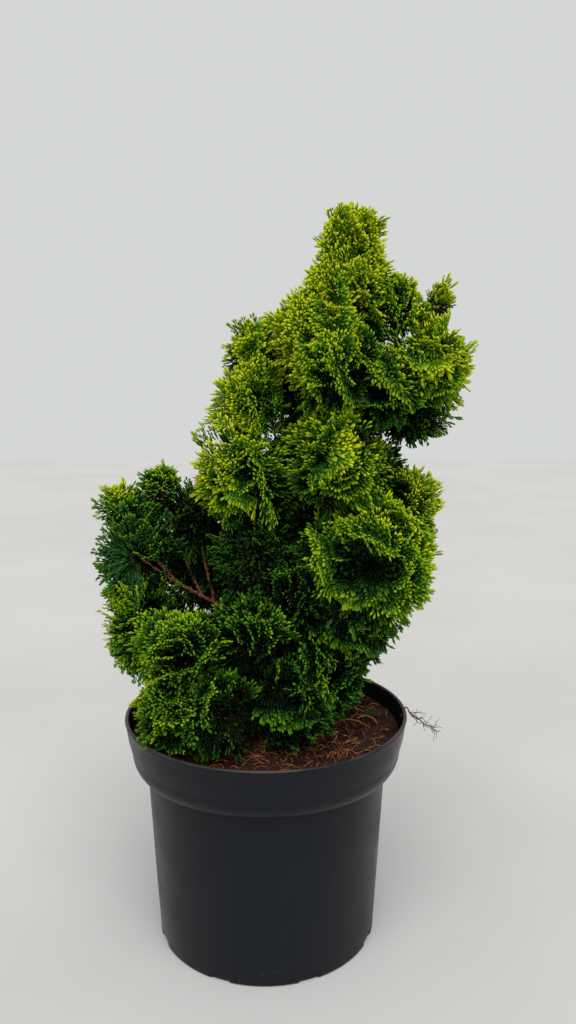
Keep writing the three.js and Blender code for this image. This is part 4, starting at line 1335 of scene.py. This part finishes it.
# Pairs of neighbouring masses that have grown together.
JOINED = [
    ("crown_tip", "crown_neck"), ("crown_neck", "right_shoulder"), ("crown_neck", "upper_left"),
    ("upper_left", "upper_front"), ("crown_neck", "upper_front"), ("right_high", "right_front"),
    ("right_high", "right_under"), ("mid_front", "mid_right"), ("low_right_high", "low_right"),
    ("low_right", "low_right_under"), ("low_right_under", "foot_right"), ("foot_left", "foot_left_low"),
    ("foot_left_low", "foot_front"), ("foot_middle", "foot_right"), ("right_shoulder", "right_high"),
    ("left_fan", "left_low"), ("left_low", "foot_left"), ("left_inner", "left_mid_high"),
    ("left_low", "left_behind"), ("back_top", "back_high"), ("back_high", "back_mid"),
    ("back_high", "back_high_left"), ("back_mid", "back_low"), ("back_mid_right", "back_low_right"),
    ("back_low_left", "back_low"), ("back_low", "back_foot_left"), ("back_low_right", "back_foot_right"),
]
JOINING_FANS = 9
JOINING_PLACE = (0.3, 0.7)
JOINING_REACH = (0.7, 0.93)
JOINING_STRAY = 0.9

# Fans stand between the two masses of a pair, and reach out to the light.
for lower, upper in JOINED:
    lower, upper = masses[lower], masses[upper]
    between = unit(upper["centre"] - lower["centre"])
    for _ in range(JOINING_FANS):
        share = leaf_rng.uniform(*JOINING_PLACE)
        root = share * upper["centre"] + (1 - share) * lower["centre"]
        direction = upper["light"] + lower["light"] + leaf_rng.normal(0, JOINING_STRAY, 3)
        direction = unit(turned_off(direction, between))
        length = (upper["half"].mean() + lower["half"].mean()) / 2 * leaf_rng.uniform(*JOINING_REACH)
        axes = fan_axes(direction, between, 0, leaf_rng)
        # The fans between are painted lighter with height and where they face up, as painted light.
        tint = tint_at((upper["tint"] + lower["tint"]) / 2, root)
        tint += PAINTED_UPWARD_LIGHT * direction[2] + leaf_rng.normal(0, RIDGE_TINT_SPREAD)
        fitting_fan(fans, root, axes, length, greens_for(tint), leaf_rng.integers(FAN_KINDS))

# How light a fold is that lies in deep shade behind the rest: its fans are painted dark, as painted shade.
IN_SHADE = -DEEP
# Long folds, where neighbouring fans have grown rim to rim. Each one's two ends in millimetres, which
# way its fans grow at each end, and how light its green is, which is partly painted light and shade.
FOLDS = [
    ((54, -30, 631), (47, -46, 586), (-0.4, -0.6, 0.7), (-0.5, -0.7, 0.2), YELLOW),
    ((64, -52, 594), (69, -64, 553), (0.3, -0.7, 0.6), (0.4, -0.7, -0.1), BRIGHT),
    ((40, -62, 571), (70, -86, 496), (-0.45, -0.6, 0.3), (0.15, -0.7, -0.6), BRIGHT),
    ((26, -62, 552), (44, -72, 503), (-0.6, -0.6, 0.3), (-0.2, -0.7, -0.5), BRIGHT),
    ((81, -74, 535), (120, -70, 491), (-0.3, -0.7, 0.3), (0.3, -0.6, -0.6), BRIGHT),
    ((101, -50, 546), (134, -60, 519), (-0.2, -0.6, 0.6), (0.0, -0.7, -0.3), YELLOW),
    ((134, -60, 519), (166, -40, 536), (0.0, -0.7, -0.3), (0.6, -0.5, 0.2), YELLOW),
    ((67, -68, 486), (64, -86, 451), (0.5, -0.6, 0.6), (0.5, -0.7, -0.1), YELLOW),
    ((64, -86, 449), (44, -84, 433), (0.3, -0.7, -0.3), (-0.1, -0.8, -0.5), BRIGHT),
    ((-33, -26, 508), (-13, -50, 468), (-0.6, -0.5, 0.5), (-0.5, -0.6, -0.2), YELLOW),
    ((-6, -50, 503), (0, -56, 464), (0.1, -0.7, 0.5), (0.4, -0.7, -0.3), BRIGHT),
    ((-40, -50, 453), (-16, -78, 413), (-0.7, -0.5, 0.3), (-0.2, -0.8, -0.5), YELLOW),
    ((-1, -74, 451), (15, -80, 402), (0.0, -0.8, 0.4), (0.4, -0.8, -0.4), BRIGHT),
    ((53, -20, 650), (44, -24, 622), (-0.7, -0.5, 0.5), (-0.7, -0.5, 0.1), YELLOW),
    ((100, -22, 622), (98, -30, 598), (0.6, -0.6, 0.3), (0.6, -0.6, -0.1), YELLOW),
    ((72, -26, 651), (97, -26, 623), (0.3, -0.6, 0.8), (0.7, -0.5, 0.2), YELLOW),
    ((41, -36, 607), (30, -44, 575), (-0.6, -0.5, 0.4), (-0.6, -0.5, 0.1), YELLOW),
    ((107, -34, 596), (118, -40, 556), (0.2, -0.8, 0.5), (0.5, -0.7, -0.2), GREEN),
    ((96, -34, 562), (118, -40, 541), (0.1, -0.7, -0.1), (0.4, -0.7, -0.2), GREEN),
    ((170, -28, 535), (156, -30, 483), (0.8, -0.4, 0.1), (0.4, -0.5, -0.6), BRIGHT),
    ((66, -100, 406), (106, -104, 384), (0.1, -0.8, 0.4), (0.4, -0.8, 0.0), BRIGHT),
    ((42, -92, 390), (52, -104, 352), (-0.4, -0.8, 0.2), (-0.2, -0.8, -0.3), BRIGHT),
    ((66, -98, 337), (124, -88, 346), (-0.1, -0.65, -0.7), (0.5, -0.55, -0.6), BRIGHT),
    ((115, -66, 416), (142, -66, 381), (0.4, -0.6, 0.6), (0.8, -0.5, 0.1), YELLOW),
    ((-98, -90, 296), (-76, -90, 320), (-0.5, -0.6, 0.5), (-0.1, -0.6, 0.7), BRIGHT),
    ((-60, -98, 286), (-38, -96, 306), (-0.2, -0.7, 0.5), (0.3, -0.7, 0.5), BRIGHT),
    ((-94, -96, 250), (-72, -104, 264), (-0.4, -0.7, 0.3), (0.0, -0.7, 0.5), BRIGHT),
    ((-52, -108, 246), (-48, -110, 266), (0.0, -0.8, 0.0), (0.1, -0.8, 0.4), BRIGHT),
    ((8, -96, 236), (36, -97, 232), (0.1, -0.6, -0.4), (0.4, -0.6, -0.5), BRIGHT),
    ((-104, 14, 318), (-60, 14, 300), (-0.2, -0.5, 0.8), (0.2, -0.5, 0.8), IN_SHADE),
    ((-110, 14, 366), (-92, 14, 408), (-0.4, -0.5, 0.5), (0.2, -0.5, 0.8), IN_SHADE),
    ((-62, 14, 372), (-38, 12, 400), (-0.2, -0.5, 0.8), (0.2, -0.5, 0.8), IN_SHADE),
    ((-86, 26, 314), (-46, 26, 312), (0.0, -0.8, 0.3), (0.0, -0.8, 0.3), IN_SHADE),
    ((54, -85, 291), (59, -80, 240), (0.3, -0.6, 0.1), (0.3, -0.6, -0.5), BRIGHT),
    ((32, -94, 292), (40, -94, 252), (-0.3, -0.7, 0.2), (0.1, -0.7, -0.3), GREEN),
    ((84, -20, 530), (118, -24, 538), (0.1, -0.5, 0.8), (0.3, -0.5, 0.7), GREEN),
    ((88, -6, 522), (116, -10, 528), (0.0, -0.4, 0.9), (0.2, -0.4, 0.9), GREEN),
    ((-25, -22, 544), (-12, -26, 562), (-0.6, -0.5, 0.4), (-0.1, -0.6, 0.7), YELLOW),
    ((-3, -28, 556), (-6, -34, 526), (0.4, -0.7, 0.4), (0.3, -0.7, 0.0), BRIGHT),
    ((55, -78, 301), (101, -70, 286), (0.0, -0.7, -0.3), (0.4, -0.6, -0.5), GREEN),
]
FOLD_STEP = 7 * MM
FOLD_STRAY = 1.5 * MM
FOLD_LENGTHS = (21 * MM, 31 * MM)

# Fans along the folds, rim to rim, with their hollow faces down.
for start, end, first_growth, last_growth, fold_tint in FOLDS:
    start, end = np.array(start) * MM, np.array(end) * MM
    line = end - start
    for share in np.linspace(0, 1, round(np.linalg.norm(line) / FOLD_STEP) + 1):
        growth = (1 - share) * np.array(first_growth) + share * np.array(last_growth)
        growth = unit(growth + leaf_rng.normal(0, FAN_STRAY, 3))
        side = unit(line - (line @ growth) * growth)
        hollow = np.cross(growth, side)
        hollow *= -1 if hollow[2] > 0 else 1
        length = leaf_rng.uniform(*FOLD_LENGTHS)
        root = start + share * line - growth * length + leaf_rng.normal(0, FOLD_STRAY, 3)
        tint = tint_at(fold_tint, root) + leaf_rng.normal(0, TINT_SPREAD)
        axes = np.array([growth, np.cross(hollow, growth), hollow])
        fitting_fan(fans, root, axes, length, greens_for(tint), leaf_rng.integers(FAN_KINDS))

# Small fans clothe the limbs inside the plant, and the trunk between the masses.
LIMB_FAN_PITCH = 7 * MM
DENSE_FAN_PITCH = 3.5 * MM
LIMB_FAN_LENGTHS = (22 * MM, 36 * MM)
LIMB_FAN_LEAN = 0.5
# How much more strongly these fans are painted lighter with height, as painted light.
LIMB_TINT_GAIN = 1.6
# The fans on these limbs stand behind them, so that their bark shows.
BARE_LIMBS = ("left_fan", "left_inner")
BARE_LIMB_BACK = 0.3
CLOTHED_STEPS = slice(4, 22)
SHORT_FANS = {"right_shoot": 0.5}
TRUNK_FAN_LENGTHS = (30 * MM, 48 * MM)
TRUNK_CLOTHED = (320 * MM, 632 * MM)
TRUNK_LONG_FANS = 530 * MM
# Below this height most limb fans are painted a shade darker, as painted shade.
SUNLIT_HEIGHT = 560 * MM
# These keep a heading from having no length, and from lying along the way that its fan grows.
NO_LENGTH = 1e-9
NOT_PARALLEL = 0.01

limb_rng = np.random.default_rng(FIRST_SEED)
clothed = [
    (mass["limb"][CLOTHED_STEPS], name in BARE_LIMBS, mass["tint"], SHORT_FANS.get(name, 1))
    for name, mass in masses.items()
]
climbing = (trunk_line[:, 2] > TRUNK_CLOTHED[0]) & (trunk_line[:, 2] < TRUNK_CLOTHED[1])
clothed.append((trunk_line[climbing], False, GREEN, 1))
for number, (line, bare, limb_tint, size) in enumerate(clothed):
    on_trunk = number == len(masses)
    steps = np.linalg.norm(np.diff(line, axis=0), axis=1)
    along = np.concatenate([[0], np.cumsum(steps)])
    pitch = DENSE_FAN_PITCH if on_trunk or size < 1 else LIMB_FAN_PITCH
    for distance in np.arange(0, along[-1], pitch):
        root = np.array([np.interp(distance, along, line[:, axis]) for axis in range(3)])
        heading = line[min(np.searchsorted(along, distance) + 1, len(line) - 1)] - root
        heading /= np.linalg.norm(heading) + NO_LENGTH
        out = np.cross(heading, limb_rng.normal(0, 1, 3))
        if bare:
            out[1] = abs(out[1]) + BARE_LIMB_BACK
        out = unit(unit(out) + LIMB_FAN_LEAN * heading)
        axes = fan_axes(out, heading + NOT_PARALLEL, FAN_TO_LIGHT * UPWARD, limb_rng)
        tint = tint_at(limb_tint, root, LIMB_TINT_GAIN) + limb_rng.normal(0, TINT_SPREAD)
        row_greens = greens_for(tint)
        # Below the sunlit height, the fans of full-sized limbs are painted one shade darker, as painted
        # shade.
        if root[2] <= SUNLIT_HEIGHT and size == 1:
            row_greens = row_greens[1:]
        lengths = TRUNK_FAN_LENGTHS if on_trunk and root[2] < TRUNK_LONG_FANS else LIMB_FAN_LENGTHS
        length = size * limb_rng.uniform(*lengths)
        fitting_fan(fans, root, axes, length, row_greens, limb_rng.integers(FAN_KINDS))


LOW_CORNER, HIGH_CORNER = (np.array(corner) for corner in cad_bounds)
CORNER_SLACK = 6 * MM
LIP_INSIDE = 1.5 * MM
LIP_OUTSIDE = 1 * MM
LIP_ABOVE = 0.5 * MM


def clear_of_neighbours(shoots):
    """Which shoots stay in the plant's room, and out of the compost, the wall of the pot and the trunk."""
    beyond = (shoots < LOW_CORNER - CORNER_SLACK) | (shoots > HIGH_CORNER + CORNER_SLACK)
    radius = np.hypot(shoots[..., 0], shoots[..., 1])
    height = shoots[..., 2]
    in_compost = (radius < compost_edge) & (height < COMPOST_LEVEL + COMPOST_SWELL)
    in_wall = (radius > RIM_RADIUS - LIP - LIP_INSIDE) & (radius < RIM_RADIUS + LIP_OUTSIDE)
    in_wall &= height < POT_HEIGHT + LIP_ABOVE
    below = height < SHOULDER
    middle = np.stack([np.interp(height, trunk_line[:, 2], trunk_line[:, axis]) for axis in (0, 1)], axis=-1)
    from_trunk = np.linalg.norm(shoots[..., :2] - middle, axis=-1)
    in_trunk = from_trunk < trunk_girth(height)
    return ~(in_compost | in_wall | below | in_trunk | beyond.any(axis=2)).any(axis=1)


def club_piece(name, shoots, material):
    """One piece of many shoots or twigs."""
    faces = (np.arange(len(shoots))[:, None, None] * len(CLUB) + CLUB_FACES).reshape(-1, 3)
    return mesh_piece(name, shoots.reshape(-1, 3), faces, material)


MOST_SHOOTS = 23000

for name, (slot, foot_green, tip_green) in GREENS.items():
    foot_leaf, tip_leaf = (
        new_material(f"{name}_{end}", Base_Color=colour, Roughness=0.65, Specular_IOR_Level=0.1)
        for end, colour in (("foot", foot_green), ("tip", tip_green))
    )
    shoots = np.concatenate(grown[name])
    shoots = shoots[clear_of_neighbours(shoots)]
    for part, few in enumerate(np.array_split(shoots, math.ceil(len(shoots) / MOST_SHOOTS))):
        piece = club_piece(f"{name}_fans_{part + 1}", few, foot_leaf)
        piece.data.materials.append(tip_leaf)
        piece.data.polygons.foreach_set("material_index", np.tile(CLUB_TIP_FACES, len(few)))
        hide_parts(*masses)
        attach(piece, "root")


# ---------------------------------------------------------------- twigs
# The young wood inside each mass: thin round twigs that part from the end of its stem and run out into
# its fans. It is brown, painted dark all over as the shade of the leaves.

TWIG_WIDTH = 1.6 * MM
TWIG_UP = (0.0, 0.3, 1.0)

twig_starts = np.array(twig_starts)
twig_ends = np.array(twig_ends)
twig_widths = np.full(len(twig_starts), TWIG_WIDTH)
twig_normals = np.tile(TWIG_UP, (len(twig_starts), 1))
twigs = clubs(twig_starts, twig_ends, twig_normals, twig_widths, twig_widths)
# The twigs take the young bark's dark crack colour throughout, as painted shade.
shaded_bark = new_material("shaded_bark", Base_Color=YOUNG_BARK_DARK, Roughness=0.9, Specular_IOR_Level=0.1)
twig_piece = club_piece("twigs", twigs, shaded_bark)
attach(twig_piece, "root")


# ---------------------------------------------------------------- floor, light and camera
# A plain pale floor with faint clouds in it, a wide soft lamp overhead, and pale light from all round.
# The camera stands in front, a little above the middle of the plant, and looks slightly down at it.

FLOOR_HALF = 4
FLOOR_PALE = (0.545, 0.532, 0.52, 1)
FLOOR_CLOUD = 0.93
SURROUND = (0.665, 0.68, 0.68, 1)
SUN_STRENGTH = 2.3
SUN_SOFTNESS = math.radians(50)
SUN_TURN = (math.radians(34), math.radians(2), 0)
CAMERA_PLACE = (0.020, -0.7906, 0.5291)
CAMERA_PITCH = math.radians(9.64)
CAMERA_LENS = 31.64
CAMERA_SENSOR = 36


def pale_floor():
    material, tree, place = patterned_material("pale_floor", Roughness=0.8, Specular_IOR_Level=0.2)
    cloudy = shift_range(tree, noise_at(tree, place, 2.5, 3), 0.3, 0.7, 0, 1)
    low = tuple(FLOOR_CLOUD * part for part in FLOOR_PALE[:3]) + (1,)
    colour = mix_colours(tree, cloudy, low, FLOOR_PALE)
    tree.links.new(colour, tree.nodes["Principled BSDF"].inputs["Base Color"])
    return material


floor_corners = [(x * FLOOR_HALF, y * FLOOR_HALF, 0) for x, y in ((-1, -1), (1, -1), (1, 1), (-1, 1))]
floor = mesh_piece("floor", floor_corners, [(0, 1, 2, 3)], pale_floor())

world = bpy.data.worlds.new("studio")
world.use_nodes = True
world.node_tree.nodes["Background"].inputs["Color"].default_value = SURROUND
world.node_tree.nodes["Background"].inputs["Strength"].default_value = 1.0
bpy.context.scene.world = world

sun = bpy.data.lights.new("daylight", "SUN")
sun.energy = SUN_STRENGTH
sun.angle = SUN_SOFTNESS
daylight = bpy.data.objects.new("daylight", sun)
daylight.rotation_euler = SUN_TURN
bpy.context.scene.collection.objects.link(daylight)

camera_data = bpy.data.cameras.new("camera")
camera_data.lens = CAMERA_LENS
camera_data.sensor_width = CAMERA_SENSOR
camera = bpy.data.objects.new("camera", camera_data)
camera.location = CAMERA_PLACE
camera.rotation_euler = (math.pi / 2 - CAMERA_PITCH, 0, 0)
bpy.context.scene.collection.objects.link(camera)
bpy.context.scene.camera = camera
bpy.context.scene.view_settings.view_transform = "Standard"
